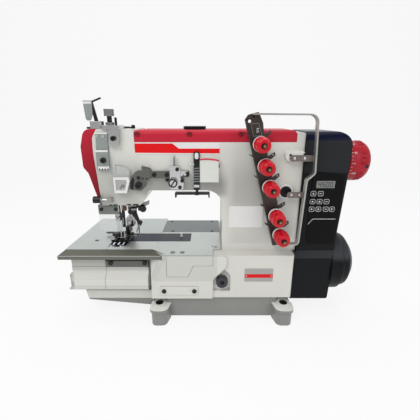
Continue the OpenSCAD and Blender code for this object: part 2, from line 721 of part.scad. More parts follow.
module arm_shaft() color([0.75, 0.75, 0.77]) translate([0, -shaft_y, arm_shaft_z]) {
    right = wheel_left + 24;
    bar_x([-crank_x, 0, 0], right + crank_x, shaft_d);
    bar_x([-crank_x - crank_w, 0, 0], crank_w + touch, 2 * crank_r + 11);
    bar_x([-crank_x - crank_w - 6, 0, crank_r], 6 + touch, 7);
    pulley(belt_x);
}

module hand_wheel() color([0.78, 0.1, 0.16]) translate([0, -shaft_y, arm_shaft_z]) rotate([0, 90, 0])
    difference() {
        r = wheel_d / 2;
        hub = wheel_left + 24;
        rotate_extrude($fn = 72) polygon(rounded([[shaft_d / 2, wheel_left, 0], [r - 3, wheel_left, 0],
            [r, wheel_left + 3, 2], [r, wheel_right, 18], [0, wheel_right, 0], [0, hub, 0],
            [shaft_d / 2, hub, 0]], 9));
        // Hollow behind the rim
        translate([0, 0, wheel_left - 1]) difference() {
            cylinder(h = 24, r = r - 6);
            cylinder(h = 24, d = shaft_d + 14);
        }
        // Finger grooves in the grip
        for (a = [0:15:345]) rotate([0, 0, a]) translate([r + 1, 0, wheel_right - 22])
            cylinder(h = 13, d = 4, $fn = 24);
    }

module main_shaft() color([0.75, 0.75, 0.77]) translate([0, -shaft_y, main_shaft_z]) {
    bar_x([-146, 0, 0], 146 + cap_right - 12, shaft_d);
    bar_x([-100, 0, 0], 10, 34);
    bar_x([-60, 0, 2], 10, 30);
    bar_x([cap_left + 2, 0, 0], motor_l, rotor_d);
    pulley(belt_x);
}

module motor_stator() color([0.55, 0.42, 0.3])
    translate([cap_left + 2, -shaft_y, main_shaft_z]) rotate([0, 90, 0]) difference() {
        cylinder(h = motor_l, d = cap_d - 8 - 2 * touch);
        translate([0, 0, -1]) cylinder(h = motor_l + 2, d = rotor_d + 2);
    }

// Slab round both shafts, with ends of radius r
module belt_form(r, x, w) {
    for (z = [main_shaft_z, arm_shaft_z]) bar_x([x, -shaft_y, z], w, 2 * r);
    box([x, -shaft_y - r, main_shaft_z], [x + w, -shaft_y + r, arm_shaft_z]);
}

module timing_belt() color([0.1, 0.1, 0.1]) difference() {
    r = pulley_d / 2 - belt_t / 2 + joint_gap;
    belt_form(r + belt_t, belt_x + joint_gap, belt_w - 2 * joint_gap);
    belt_form(r, belt_x - 1, belt_w + 2);
}

module ring_x(x, l, z, d, bore) translate([x, -shaft_y, z]) rotate([0, 90, 0]) difference() {
    cylinder(h = l, d = d);
    translate([0, 0, -1]) cylinder(h = l + 2, d = bore);
}

module bearings() color([0.66, 0.66, 0.68]) {
    bore = shaft_d + 2 * run_fit;
    ring_x(-cover_left - 2, arm_wall + 6, arm_shaft_z, bearing_d, bore);
    ring_x(column_right - arm_wall, arm_wall, arm_shaft_z, bearing_d, bore);
    ring_x(-box_right - 2, bed_wall + 8, main_shaft_z, bearing_d, bore);
    ring_x(block_right - bed_wall, bed_wall, main_shaft_z, bearing_d, bore);
}

module bar_bushes() color([0.7, 0.6, 0.4])
    for (p = [[-needle_x, -shaft_y, needle_bar_d], [-presser_x, presser_y, presser_bar_d]],
         z = [[head_under - 4, head_under + arm_wall + 2], [arm_top - arm_wall, arm_top]])
        difference() {
            bar_z([p[0], p[1], z[0]], z[1] - z[0], bush_d);
            bar_z([p[0], p[1], z[0] - 1], z[1] - z[0] + 2, p[2] + 2 * run_fit);
        }

// ---- Needle bar and presser ----

module needle_bar() color([0.8, 0.8, 0.82]) difference() {
    union() {
        bar_z([-needle_x, -shaft_y, needle_bar_z0], bar_top_z - needle_bar_z0, needle_bar_d);
        bar_z([-needle_x, -shaft_y - 2, needle_bar_z0], clamp_h, clamp_d);
        bar_z([-needle_x, -shaft_y, spring_low - 10], 12, 14);
    }
    for (i = [-1:1]) bar_z([-needle_x + i * needle_gauge, needle_y, needle_bar_z0 - 1], 9,
        needle_d + 0.6);
}

module needles() color([0.85, 0.85, 0.87])
    for (i = [-1:1]) translate([-needle_x + i * needle_gauge, needle_y, needle_tip_z]) {
        cylinder(h = 4, d1 = 0.2, d2 = needle_d, $fn = 16);
        translate([0, 0, 4 - touch]) cylinder(h = 24 + 6, d = needle_d);
        translate([0, 0, 26]) cylinder(h = 10 - touch, d = needle_d + 0.6 - touch);
    }

module presser_bar() color([0.8, 0.8, 0.82]) {
    x = -presser_x;
    z0 = foot_pin_z + 4;
    difference() {
        union() {
            bar_z([x, presser_y, z0 + 6], bar_top_z - z0 - 6, presser_bar_d);
            box([x - 8, presser_y - 8, z0 + 6], [x + 6, presser_y + 7, z0 + 24]);
            box([x - 8, foot_pin_y - 4, foot_pin_z - 4], [x - 1, presser_y + 6, z0 + 8]);
            bar_z([x, presser_y, spring_low - 10], 10, 15);
        }
        bar_x([x - 9, foot_pin_y, foot_pin_z], 20, 4 + 2 * run_fit);
    }
}

module presser_foot() color([0.72, 0.72, 0.74]) {
    x0 = -needle_x - 15;
    x1 = -presser_x + 7;
    difference() {
        union() {
            along_x(x0, x1 - 2, [[toe_y, sole_z + 2, 1], [toe_y + 3, sole_z, 1], [6, sole_z, 1],
                [6, sole_z + 3, 1], [toe_y + 4, sole_z + 3, 1], [toe_y, sole_z + 6, 0]], 3);
            for (x = [-presser_x - 11, -presser_x - 1 + joint_gap])
                box([x, foot_pin_y - 3, sole_z + 2], [x + 3 - joint_gap, foot_pin_y + 3, foot_pin_z + 3]);
            bar_x([-presser_x - 11, foot_pin_y, foot_pin_z], 13, 4);
        }
        // Needle opening, and the gap that shows the front teeth
        box([-needle_x - 7, -shaft_y - 9, sole_z - 1], [-needle_x + 7, -shaft_y + 3, sole_z + 8]);
        box([-needle_x - 2, toe_y - 1, sole_z - 1], [-needle_x + 2, -shaft_y - 8, sole_z + 8]);
    }
}

module presser_spring() color([0.6, 0.6, 0.62]) difference() {
    bar_z([-presser_x, presser_y, spring_low + joint_gap],
        arm_top - arm_wall - spring_low - 2 * joint_gap, 14);
    bar_z([-presser_x, presser_y, spring_low - 1], arm_top, presser_bar_d + 2);
}

// ---- Looper and feed ----

module looper() color([0.78, 0.78, 0.8]) {
    y = needle_y + 2.6;
    top = bed_top - 16;
    bar_y([-looper_x, y - 8, looper_z], 44, looper_shaft_d);
    bar_y([-looper_x, y - 7, looper_z], 12, looper_shaft_d + 3);
    along_y(y - 5, y + 3, [[-looper_x - 6, looper_z, 0], [-looper_x + 6, looper_z, 0],
        [-looper_x + 4, top - 6, 0], [-looper_x + 4, top, 0], [-looper_x - 5, top, 2]]);
    along_y(y - 0.8, y + 0.8, [[-looper_x, top - 5, 0], [-looper_x + 20, top - 3, 0],
        [-looper_x + 28, top - 0.6, 0], [-looper_x, top, 0]]);
}

module looper_block() color([0.62, 0.62, 0.6]) difference() {
    y0 = needle_y + 12;
    union() {
        box([-looper_x - 12, y0, box_floor + bed_wall], [-looper_x + 12, y0 + 20, looper_z]);
        bar_y([-looper_x, y0, looper_z], 20, 24);
    }
    bar_y([-looper_x, y0 - 1, looper_z], 22, looper_shaft_d + 2 * run_fit);
    box([-looper_x - 30, y0 - 1, looper_z - 30], [-looper_x + 30, y0 + 21, box_floor + bed_wall]);
}

feed_bar_z = [110, 120];
holder_z = [bed_top - 7, bed_top - 3];

// Rows of teeth on a holder that reaches the bar at x
module feed_dog(y, x, w, y_bar) {
    for (i = dog_rows) translate([-needle_x + i - dog_w / 2, y, holder_z[1] - touch]) difference() {
        cube([dog_w, dog_l, dog_top - holder_z[1] + touch]);
        for (k = [0:dog_l / 2]) translate([-1, k * 2 + 1, dog_top - holder_z[1] - 0.5]) rotate([45, 0, 0])
            cube([dog_w + 2, 1.4, 1.4]);
    }
    box([-needle_x - 12, y_bar, holder_z[0]], [x + w, y_bar + 7, holder_z[1]]);
    box([x, y_bar, feed_bar_z[0]], [x + w, y_bar + 7, holder_z[0] + touch]);
    box([x, y_bar, feed_bar_z[0]], [x + w, 66, feed_bar_z[1]]);
}

module main_feed_dog() color([0.76, 0.76, 0.78]) feed_dog(rear_dog_y, -162, 8, rear_dog_y + 4);
module diff_feed_dog() color([0.7, 0.7, 0.72]) feed_dog(front_dog_y, -173, 8, front_dog_y + 3);

module feed_guide() color([0.6, 0.6, 0.58]) difference() {
    x = [-178, -149];
    box([x[0], 40, box_floor + bed_wall], [x[1], 58, feed_bar_z[1] + 6]);
    for (bx = [-173, -162])
        box([bx - 0.1, 39, feed_bar_z[0] - 0.1], [bx + 8 + 0.1, 59, feed_bar_z[1] + 0.1]);
}

// ---- Head fittings ----

module spreader() color([0.7, 0.7, 0.72]) {
    p = [-spreader_x, -spreader_y];
    low = head_under - 20;
    elbow = [p.x + 11, p.y - 2, head_under - 42];
    bar_z([p.x, p.y, low + 6], head_under + 12 - low - 6, 8);
    bar_z([p.x, p.y, low], 12, 15);
    rod([p.x + 3, p.y, low + 5], elbow, 6);
    rod(elbow, [p.x + 3, p.y + 4, plate_top + 23], 3);
    translate(elbow) sphere(d = 8);
    bar_y([p.x, p.y - 15, low + 6], 10, 9);
}

module take_up() color([0.6, 0.6, 0.62]) {
    y = -lever_y;
    difference() {
        union() {
            bar_y([-lever_x, y - 5, lever_z], 10, 7);
            along_y(y - 1.5, y + 1.5, [[-lever_x - 3, lever_z, 0], [-lever_x + 3, lever_z, 0],
                [-213, lever_z + 37, 1], [-217, lever_z + 37, 1]]);
        }
        bar_y([-lever_x, y - 6, lever_z], 12, lever_pin_d + 2 * run_fit);
    }
    along_y(y - 2.5, y - 1.5 + touch, [[-228, lever_z + 37, 0], [-213, lever_z + 37, 0],
        [-214, lever_z + 16, 0], [-218, lever_z + 6, 4], [-226, lever_z + 6, 4]]);
    rod([-215, y, lever_z + 35], [-199, y, lever_z + 41], 3);
}

module pressure_bracket() color([0.74, 0.74, 0.75]) {
    // Clamp plate on the head's front
    along_y(-arm_front - 8, -arm_front, [[-185, arm_top - 26, 2], [-168.5, arm_top - 26, 2],
        [-165, arm_top + 6, 3], [-182, arm_top + 6, 3]]);
    // Foot on the head's top that guides the pressure screw
    difference() {
        along_z(arm_top, arm_top + 6, rect(-196, -arm_front - 4, -166, -26, 5));
        bar_z([press_x, press_y, arm_top - 1], 8, press_d + 2 * run_fit);
    }
    bar_z([-177, press_y, arm_top + 6 - touch], 12, 4);
    // Block with the take-up lever's pin
    difference() {
        along_z(arm_top, arm_top + 12, rect(-219, -lever_y - 9, -200, -lever_y + 9, 3));
        box([-222, -lever_y - 5 - joint_gap, arm_top + 2],
            [-198, -lever_y + 5 + joint_gap, arm_top + 14]);
    }
    bar_y([-lever_x, -lever_y - 9, lever_z], 18, lever_pin_d);
}

module pressure_knob() color([0.66, 0.66, 0.66]) {
    translate([press_x, press_y, 0]) {
        bar_z([0, 0, arm_top - 20], 42, press_d);
        difference() {
            bar_z([0, 0, arm_top + 20], 11, 16);
            for (a = [0:20:340]) rotate([0, 0, a]) bar_z([8.4, 0, arm_top + 21], 9, 1.6);
        }
        bar_z([0, 0, arm_top + 6 + joint_gap], 4, 14);
    }
}

module thread_guide() color([0.75, 0.75, 0.76]) {
    front = -arm_front;
    x = -head_left;
    // Upper leaf, bend and lower leaf
    along_y(front - 4, front, [[x + 5, arm_top - 35, 0], [x + 24, arm_top - 35, 0],
        [x + 26.5, arm_top - 5, 2], [x + 7, arm_top - 5, 2]]);
    along_y(front - 6, front, [[x + 4, arm_top - 60, 0], [x + 24, arm_top - 60, 0],
        [x + 24.5, arm_top - 33, 0], [x + 5, arm_top - 33, 0]]);
    for (i = [0:4])
        box([x + 4 + i * 4.3, front - 6, arm_top - 65],
            [x + 6.5 + i * 4.3, front - 3, arm_top - 60 + touch]);
}

module guide_rail() color([0.62, 0.62, 0.6]) {
    front = -arm_front;
    translate([0, 0, arm_mid]) {
        // Crank housing on the head
        along_y(front - 8, front, [[-156, -37, 4], [-137, -39.5, 5], [-130, -32, 3], [-129, -25, 0],
            [-121, -19, 0], [-119, -4, 4], [-125, 1, 3], [-133.5, 1, 2], [-134, -6, 1], [-144, -6, 4],
            [-151.5, -15, 4]]);
        // Rail and its right end
        along_y(front - 7, front, [[-123, -18, 0], [-86, -18, 0], [-86, -6.5, 0], [-123, -6.5, 0]]);
        along_y(front - 6, front, [[-71, -16, 0], [-56, -16, 2], [-56, -6, 2], [-71, -6, 0]]);
        // Tension block with its rod
        along_y(front - 12, front, [[-87.5, -36, 3], [-66, -36, 3], [-64.5, -19, 2], [-70.5, -17, 0],
            [-70.5, 3, 3], [-87.5, 3, 3]]);
        bar_z([-79.5, front - 6, 3 - touch], 16, 3);
        bar_y([-81.5, front - 18, -24], 7, 13);
    }
}

module guide_hanger() color([0.3, 0.29, 0.28]) {
    front = -arm_front;
    low = arm_under + 2;
    top = arm_mid + 26;
    difference() {
        along_y(front - 4, front - 1, [[-49, low, 1], [-39, low, 1], [-38.5, top, 4.5],
            [-48.5, top, 4.5]]);
        along_y(front - 5, front + 1, rect(-45.5, top - 14, -41.5, top - 5, 1.9));
    }
    bar_y([-43.5, front - 1 - touch, arm_mid - 2], 1 + touch, 8);
    // Cross bar under the arm, with its turned-down ends
    translate([0, 0, arm_under - 5]) {
        bar_z([-44, front + 6, -touch], 5 + touch, 5);
        box([-82, front, -3], [-22, front + 12, 0]);
        for (x = [-82, -24.5]) box([x, front, -8], [x + 2.5, front + 12, -3 + touch]);
        bar_z([-44, front - 2.5, 0], 7 + touch, 4);
        box([-47, front - 5, -2.5], [-41, front + touch, touch]);
    }
}

module thread_shield() color([0.85, 0.87, 0.87, 0.6]) difference() {
    front = -arm_front;
    top = label_low - 5;
    low = top - 39;
    box([-38, front - 14, low], [-7, front, top]);
    box([-36.5, front - 12.5, low - 1], [-8.5, front + 1, top - 4]);
}

module oil_cup() color([0.86, 0.88, 0.88]) {
    front = -arm_front;
    translate([0, 0, arm_mid]) difference() {
        along_y(front - 10, front, [[-181, -42.5, 3], [-160, -42.5, 3], [-154, -17, 2], [-154.5, -4, 3],
            [-162, 1, 2], [-180, 4, 2]]);
        along_y(front - 8.5, front + 1, [[-179.3, -40.5, 2], [-161.5, -40.5, 2], [-155.8, -17, 1.5],
            [-156.2, -5, 2], [-162, -0.7, 1.5], [-178.3, 2.2, 1.5]]);
        along_y(front - 11, front - 7, rect(-179, -35, -161.5, -21, 2));
    }
}

module eye_guard() color([0.8, 0.84, 0.85]) {
    y = -50;
    along_y(y, y + 2, rect(-219, head_under - 18, -185, head_under, 2));
    box([-207, y, head_under - 2], [-185, y + 14, head_under]);
    along_y(y + 2 - touch, y + 4, rect(-220, head_under - 52, -190, head_under - 8, 2));
}

module filler_cap() color([0.06, 0.06, 0.06]) {
    seat = red_top + joint_gap / 3;
    bar_z([filler_x, -shaft_y, red_top - 5], seat - red_top + 5 + touch, filler_d - 0.3);
    difference() {
        bar_z([filler_x, -shaft_y, seat], 5, filler_d + 15);
        for (a = [0:20:340]) translate([filler_x, -shaft_y, 0]) rotate([0, 0, a])
            bar_z([filler_d / 2 + 8.4, 0, seat - 1], 9, 3);
    }
}

// Sight glass and breather on the head, plug in the column's front
module plugs() color([0.06, 0.06, 0.06]) {
    bar_z([sight_x, -8, arm_top - 6], 6 + touch, 17.9);
    bar_z([sight_x, -8, arm_top], 2, 24);
    bar_z([-152, -26, arm_top], 5, 4.5);
    bar_y([plug_x, -arm_front - 2, plug_z], 8, plug_d - 0.1);
    bar_y([plug_x, -arm_front - 2, plug_z], 2, plug_d + 4);
}

module stitch_button() color([0.2, 0.2, 0.22]) {
    bar_y([button_x, -block_front - 3, button_z], 10, button_d);
    bar_y([button_x, -block_front + 6, button_z], 22, 12);
}

// ---- Thread tensions ----

knob_s = [for (i = [0:knob_count - 1]) (i - 2) * knob_pitch + (i > 2 ? knob_break : 0)];

// Puts its children at a distance s down the leaning bracket
module on_bracket(s = 0)
    translate([tension_x, 0, tension_z]) rotate([0, -tension_tilt, 0]) translate([0, 0, -s]) children();

module tension_bracket() color([0.32, 0.3, 0.28]) {
    top = 118;
    bottom = -109;
    back = bracket_y;
    on_bracket() {
        difference() {
            union() {
                along_y(back - bracket_t, back, rect(-15, bottom, 9, top - 24, 3));
                along_y(back - bracket_t, back, [[-15, top - 40, 0], [-15, top - 6, 3],
                    [-8, top, 3], [9, top, 3], [12, top - 18, 0], [9, top - 40, 0]]);
                box([-15, back - 8, bottom + 8], [-15 + bracket_t, back, top - 6]);
                box([9 - bracket_t, back - touch, bottom + 8], [9, back + 4, top - 26]);
            }
            bar_y([-11 + 3, back - 5, top - 10], 10, 5);
        }
        // Above each knob, a thread guide leaf with its eye on the right edge and a fin on the left edge
        for (s = knob_s) translate([0, 0, -s]) {
            difference() {
                along_y(back - bracket_t, back, [[9 - touch, 7, 0], [13, 6.5, 0], [21, 11, 0],
                    [21, 16, 0], [15, 14.5, 0], [9 - touch, 12, 0]]);
                bar_y([17.5, back - 5, 12.5], 10, 2.4);
            }
            along_y(back - 9, back, [[-19.5, 22, 0], [-15 + touch, 18, 0], [-15 + touch, 20, 0],
                [-19.5, 24, 0]]);
        }
        // Posts, and the feet that stand on the column
        for (s = knob_s) bar_y([0, -arm_front - post_l, -s], post_l - bracket_off + touch, post_d);
        for (s = [knob_s[1] + knob_pitch / 2, knob_s[3] - 6])
            bar_y([-3, back - touch, -s], bracket_off + touch, 12);
    }
}

module tension_discs() color([0.8, 0.8, 0.82])
    for (s = knob_s) on_bracket(s) difference() {
        union() {
            bar_y([0, bracket_y - bracket_t - 2.5, 0], 2.5, disc_d - 4);
            bar_y([0, bracket_y - bracket_t - 5, 0], 2.4, disc_d);
        }
        bar_y([0, bracket_y - bracket_t - 7, 0], 12, post_d + 0.02);
    }

module tension_springs() color([0.7, 0.7, 0.72])
    for (s = knob_s) on_bracket(s) difference() {
        bar_y([0, knob_y0 + joint_gap, 0], bracket_y - bracket_t - 5 - knob_y0 - joint_gap, 12);
        bar_y([0, knob_y0 - 1, 0], 20, post_d + 2);
    }

module tension_knob(i) color([0.85, 0.1, 0.13]) on_bracket(knob_s[i]) difference() {
    r = knob_d / 2;
    y = knob_y0;
    translate([0, y, 0]) rotate([90, 0, 0]) rotate_extrude($fn = 48)
        polygon(rounded([[post_d / 2 + run_fit, 0, 0], [r - 3, 0, 0], [r, 2, 1], [r, knob_l * 0.42, 1],
        [r - 2, knob_l * 0.5, 0.5], [r - 2, knob_l * 0.6, 0.5], [r - 0.5, knob_l * 0.68, 1],
        [r - 2, knob_l, 4], [3.6, knob_l, 0.4], [3.6, knob_l - 6, 0],
        [post_d / 2 + run_fit, knob_l - 6, 0]], 4));
    for (a = [0:30:330]) rotate([0, a, 0]) bar_y([r + 0.6, y - knob_l * 0.4, 0], knob_l * 0.3, 3);
}

module tension_knob_1() tension_knob(0);
module tension_knob_2() tension_knob(1);
module tension_knob_3() tension_knob(2);
module tension_knob_4() tension_knob(3);
module tension_knob_5() tension_knob(4);

// Bent strip that keeps thread and fingers apart, with the straps and pad that carry it
module guard_wire() color([0.55, 0.54, 0.52]) {
    back = bracket_y - bracket_t;
    translate([tension_x, 0, tension_z]) along_y(back - guard_w, back,
        ribbon([[-32.5, 113, 0], [67.5, 112, 12], [72, 22, 7], [60, 11, 7], [56, -103, 7],
        [24.5, -103, 0]], guard_t));
    for (k = [0, 1]) difference() {
        along_y(back, bracket_y, rect(strap_x[0] - 6, strap_z[k] - 5, strap_x[1] + 18 - 11 * k,
            strap_z[k] + 5, 4));
        bar_y([strap_x[1], back - 1, strap_z[k]], 12, 3.4);
    }
    // Pad and post on the column
    along_y(bracket_y - touch, -arm_front, rect(strap_x[0] - 12.5, strap_z[0] - 5, strap_x[1] + 4,
        strap_z[0] + 12, 7));
    bar_y([strap_x[1] - 2, bracket_y - touch, strap_z[1]], bracket_off + touch, 8);
}

// ---- Labels and screws ----

module labels() color([0.93, 0.93, 0.92]) {
    along_y(-arm_front - 0.8, -arm_front, rect(-cover_left, label_low, column_left - 5, rim_z - 1, 1), 3);
    along_y(-arm_front - 0.5, -arm_front, rect(column_left + 12, bed_top + 45,
        column_left + 71, bed_top + 84.5, 1), 3);
    along_y(-block_front + step_in - 0.8, -block_front + step_in, rect(column_left + 41, bed_top - 52,
        column_left + 92, bed_top - 26, 1), 3);
}

module screws() color([0.07, 0.07, 0.07]) {
    front = -arm_front;
    front_screw([-head_left + 16, front - 6, arm_top - 49], 9, 4);
    front_screw([-175.5, front - 8, arm_top - 14], 8, 4);
    front_screw([-141, front - 8, arm_mid - 29.5], 11, 5);
    for (x = [-114, -93]) front_screw([x, front - 7, arm_mid - 12], 7, 3);
    front_screw([-75, front - 12, arm_mid - 2], 6, 3);
    front_screw([-43.5, front - 4, arm_mid + 7], 7, 3);
    for (x = [-105, -50]) front_screw([x, -block_front - 1.5, 65], 8, 2);
    for (x = [-213.5, -188]) front_screw([x, -50, head_under - 8.5], 6, 2);
    for (x = cover_screw_x) front_screw([x, front + pocket_depth, cover_screw_z], 6.5, 1.5);
    // Thumb screw and the small block that holds it on the head's front
    bar_x([thumb_x - 7, front - thumb_d / 2 - joint_gap, thumb_z], 13, thumb_d);
    bar_x([thumb_x + 6 - touch, front - thumb_d / 2 - joint_gap, thumb_z], 16, 4);
    box([thumb_x + 16, front - thumb_d / 2 - 3, thumb_z - 4], [thumb_x + 24, front, thumb_z + 4]);
}

oil_pan();
bed_casting();
arm_casting();
top_cover();
face_cover();
motor_housing();
motor_cap();
control_panel();
slide_plate();
front_plate();
rear_plate();
needle_plate();
filler_strip();
edge_plate();
cover_strip();
front_cover();
side_cover();
block_panel();
block_cap();
arm_shaft();
hand_wheel();
main_shaft();
motor_stator();
timing_belt();
bearings();
bar_bushes();
needle_bar();
needles();
presser_bar();
presser_foot();
presser_spring();
looper();
looper_block();
main_feed_dog();
diff_feed_dog();
feed_guide();
spreader();
take_up();
pressure_bracket();
pressure_knob();
thread_guide();
guide_rail();
guide_hanger();
thread_shield();
oil_cup();
tension_bracket();
tension_discs();
tension_springs();
tension_knob_1();
tension_knob_2();
tension_knob_3();
tension_knob_4();
tension_knob_5();
guard_wire();
eye_guard();
filler_cap();
plugs();
stitch_button();
labels();
screws();
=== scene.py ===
# %% [markdown]
# # Dressing a coverstitch sewing machine
# The CAD model gives every casting, shaft and knob in its true place. This lesson paints the
# solids, adds the small fittings that a solid model leaves out, and lights a product picture.

# %% Load the machine's frame
import bpy, bmesh
from math import cos, pi, radians, sin
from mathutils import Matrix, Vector


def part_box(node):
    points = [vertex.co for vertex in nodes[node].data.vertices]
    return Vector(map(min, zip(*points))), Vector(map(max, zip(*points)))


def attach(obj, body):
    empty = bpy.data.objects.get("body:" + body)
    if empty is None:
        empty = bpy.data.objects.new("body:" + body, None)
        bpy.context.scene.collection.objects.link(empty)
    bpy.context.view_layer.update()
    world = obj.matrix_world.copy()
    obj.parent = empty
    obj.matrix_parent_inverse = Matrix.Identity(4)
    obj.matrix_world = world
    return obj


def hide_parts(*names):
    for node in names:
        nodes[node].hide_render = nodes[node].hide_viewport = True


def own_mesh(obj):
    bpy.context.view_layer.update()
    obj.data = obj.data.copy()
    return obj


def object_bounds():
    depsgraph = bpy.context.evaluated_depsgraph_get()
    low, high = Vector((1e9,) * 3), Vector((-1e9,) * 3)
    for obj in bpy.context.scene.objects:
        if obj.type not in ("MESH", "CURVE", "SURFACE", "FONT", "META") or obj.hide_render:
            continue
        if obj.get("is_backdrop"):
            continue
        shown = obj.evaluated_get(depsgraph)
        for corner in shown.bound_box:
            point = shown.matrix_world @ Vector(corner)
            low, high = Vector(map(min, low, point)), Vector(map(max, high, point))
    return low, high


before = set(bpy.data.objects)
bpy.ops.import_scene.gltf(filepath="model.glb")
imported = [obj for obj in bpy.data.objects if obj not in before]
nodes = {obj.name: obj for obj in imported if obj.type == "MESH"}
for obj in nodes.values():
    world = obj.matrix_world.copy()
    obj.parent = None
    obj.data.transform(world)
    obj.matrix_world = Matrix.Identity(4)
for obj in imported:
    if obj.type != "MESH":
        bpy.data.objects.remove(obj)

cad_low, cad_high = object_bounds()
print("machine", [round(v, 3) for v in cad_high - cad_low], "m,", len(nodes), "solids")

# %% [markdown]
# ## Maths on shader sockets
# A finish such as worn paint is a small formula, and wiring Math nodes by hand hides it. A class
# that wraps one socket and overloads the operators lets us write `1 - wear * 0.4` instead.


# %% A socket that behaves like a number
def operator(operation, flipped=False):
    def apply(self, other=0.0):
        pair = (other, self) if flipped else (self, other)
        return self.finish.add("Math", {"operation": operation}, dict(enumerate(pair)))
    return apply


class Signal:
    """One output socket; arithmetic on it adds Math nodes to its finish."""

    def __init__(self, finish, socket):
        self.finish, self.socket = finish, socket

    __add__, __radd__ = operator("ADD"), operator("ADD", True)
    __sub__, __rsub__ = operator("SUBTRACT"), operator("SUBTRACT", True)
    __mul__, power, size = operator("MULTIPLY"), operator("POWER"), operator("ABSOLUTE")
    least, most = operator("MINIMUM"), operator("MAXIMUM")

    def held(self):
        return self.least(1.0).most(0.0)


print("signals ready")

# %% [markdown]
# ## A finish
# Every material is one Principled shader with a few signals plugged into it. The class keeps what
# all finishes share: the place on the object, noise of a chosen size, soft steps and edges.


# %% A finish with its own small vocabulary
def rgb(red, green, blue):
    """A screen colour from 0 to 255 as the linear colour of a shader, by the sRGB curve."""
    return tuple(((v / 255 + 0.055) / 1.055) ** 2.4 if v > 10 else v / 3295
                 for v in (red, green, blue))


finishes = {}


class Finish:
    """A material, its Principled shader, and helpers that add nodes to it."""

    def __init__(self, name, colour, roughness, **plain):
        self.material = bpy.data.materials.new(name)
        self.material.use_nodes = True
        self.tree = self.material.node_tree
        self.tree.nodes.clear()
        self.output = self.tree.nodes.new("ShaderNodeOutputMaterial")
        self.shader = self.tree.nodes.new("ShaderNodeBsdfPrincipled")
        self.tree.links.new(self.shader.outputs[0], self.output.inputs[0])
        self.colour, self.normal = rgb(*colour), None
        self.set("Base Color", (*self.colour, 1.0))
        self.set("Roughness", roughness)
        for key, value in plain.items():
            self.set(key.replace("_", " "), value)
        finishes[name] = self

    def add(self, kind, settings=None, inputs=None, output=0):
        """Adds one node: its settings first, then its sockets, and returns one of its outputs."""
        node = self.tree.nodes.new("ShaderNode" + kind)
        for key, value in (settings or {}).items():
            setattr(node, key, value)
        for key, value in (inputs or {}).items():
            self.feed(node.inputs[key], value)
        return Signal(self, node.outputs[output])

    def feed(self, socket, value):
        if isinstance(value, Signal):
            self.tree.links.new(value.socket, socket)
        else:
            socket.default_value = value

    def set(self, socket, value):
        self.feed(self.shader.inputs[socket], value)

    def place(self, stretch=(1, 1, 1)):
        """Position on the object in metres, with each axis stretched."""
        point = self.add("TexCoord", output="Object")
        return self.add("VectorMath", {"operation": "MULTIPLY"}, {0: point, 1: stretch})

    def axis(self, letter):
        return self.add("SeparateXYZ", None, {0: self.place()}, letter)

    def facing(self, letter):
        """How much the surface faces along an axis, from -1 to 1."""
        normal = self.add("NewGeometry", output="Normal")
        return self.add("SeparateXYZ", None, {0: normal}, letter)

    def noise(self, size, detail, stretch=(1, 1, 1)):
        """Noise from 0 to 1 whose features are about size metres long."""
        inputs = {"Vector": self.place(stretch), "Scale": 1 / size, "Detail": detail}
        return self.add("TexNoise", None, inputs)

    def sway(self, size, detail, amount, stretch=(1, 1, 1)):
        """Noise about 0 that reaches half of amount each way."""
        return (self.noise(size, detail, stretch) - 0.5) * amount

    def cells(self, size):
        return self.add("TexVoronoi", None, {"Vector": self.place(), "Scale": 1 / size})

    def step(self, signal, low, high):
        """0 below low, 1 above high, smooth between."""
        inputs = {"Value": signal, "From Min": low, "From Max": high}
        return self.add("MapRange", {"interpolation_type": "SMOOTHSTEP"}, inputs)

    def under(self, signal, full, gone):
        """1 below full, 0 above gone, smooth between."""
        return self.step(signal * -1, -gone, -full)

    def within(self, signal, low, rise, fall, high):
        """0 outside low and high, 1 from rise to fall."""
        return self.under(signal, fall, high) * self.step(signal, low, rise)

    def edges(self, radius, gain):
        """Mask of edges, found by comparing a rounded normal with the true one."""
        rounded = self.add("Bevel", {"samples": 4}, {"Radius": radius})
        true = self.add("NewGeometry", output="Normal")
        match = self.add("VectorMath", {"operation": "DOT_PRODUCT"}, {0: rounded, 1: true}, "Value")
        return ((1 - match) * gain).held()

    def mix(self, mask, under, over):
        """Signal under where the mask is 0, screen colour over where it is 1."""
        first, second, result = 6, 7, 2     # the colour sockets of a Mix node
        inputs = {0: mask, first: under, second: (*rgb(*over), 1)}
        return self.add("Mix", {"data_type": "RGBA"}, inputs, result)

    def shade(self, factor):
        """The finish's own colour times a grey factor."""
        grey = self.add("CombineXYZ", None, {0: factor, 1: factor, 2: factor})
        return self.add("VectorMath", {"operation": "MULTIPLY"}, {0: self.colour, 1: grey})

    def bump(self, height, depth, strength):
        """Adds a bump whose full height is depth metres to the rounded normal."""
        inputs = {"Height": height, "Distance": depth, "Strength": strength, "Normal": self.normal}
        self.normal = self.add("Bump", None, inputs)
        self.set("Normal", self.normal)

    def soften(self, radius):
        """Rounds the hard edges of a CAD solid in the shading."""
        self.normal = self.add("Bevel", {"samples": 4}, {"Radius": radius})


print("finish helpers ready; mid grey is", round(rgb(128, 128, 128)[0], 3))

# %% [markdown]
# ## Machine paint
# Sprayed enamel is never flat: the film has a faint orange peel, broad soft differences in tone,
# and a trace of grey where edges and corners hold dust and oil. One function makes all three.


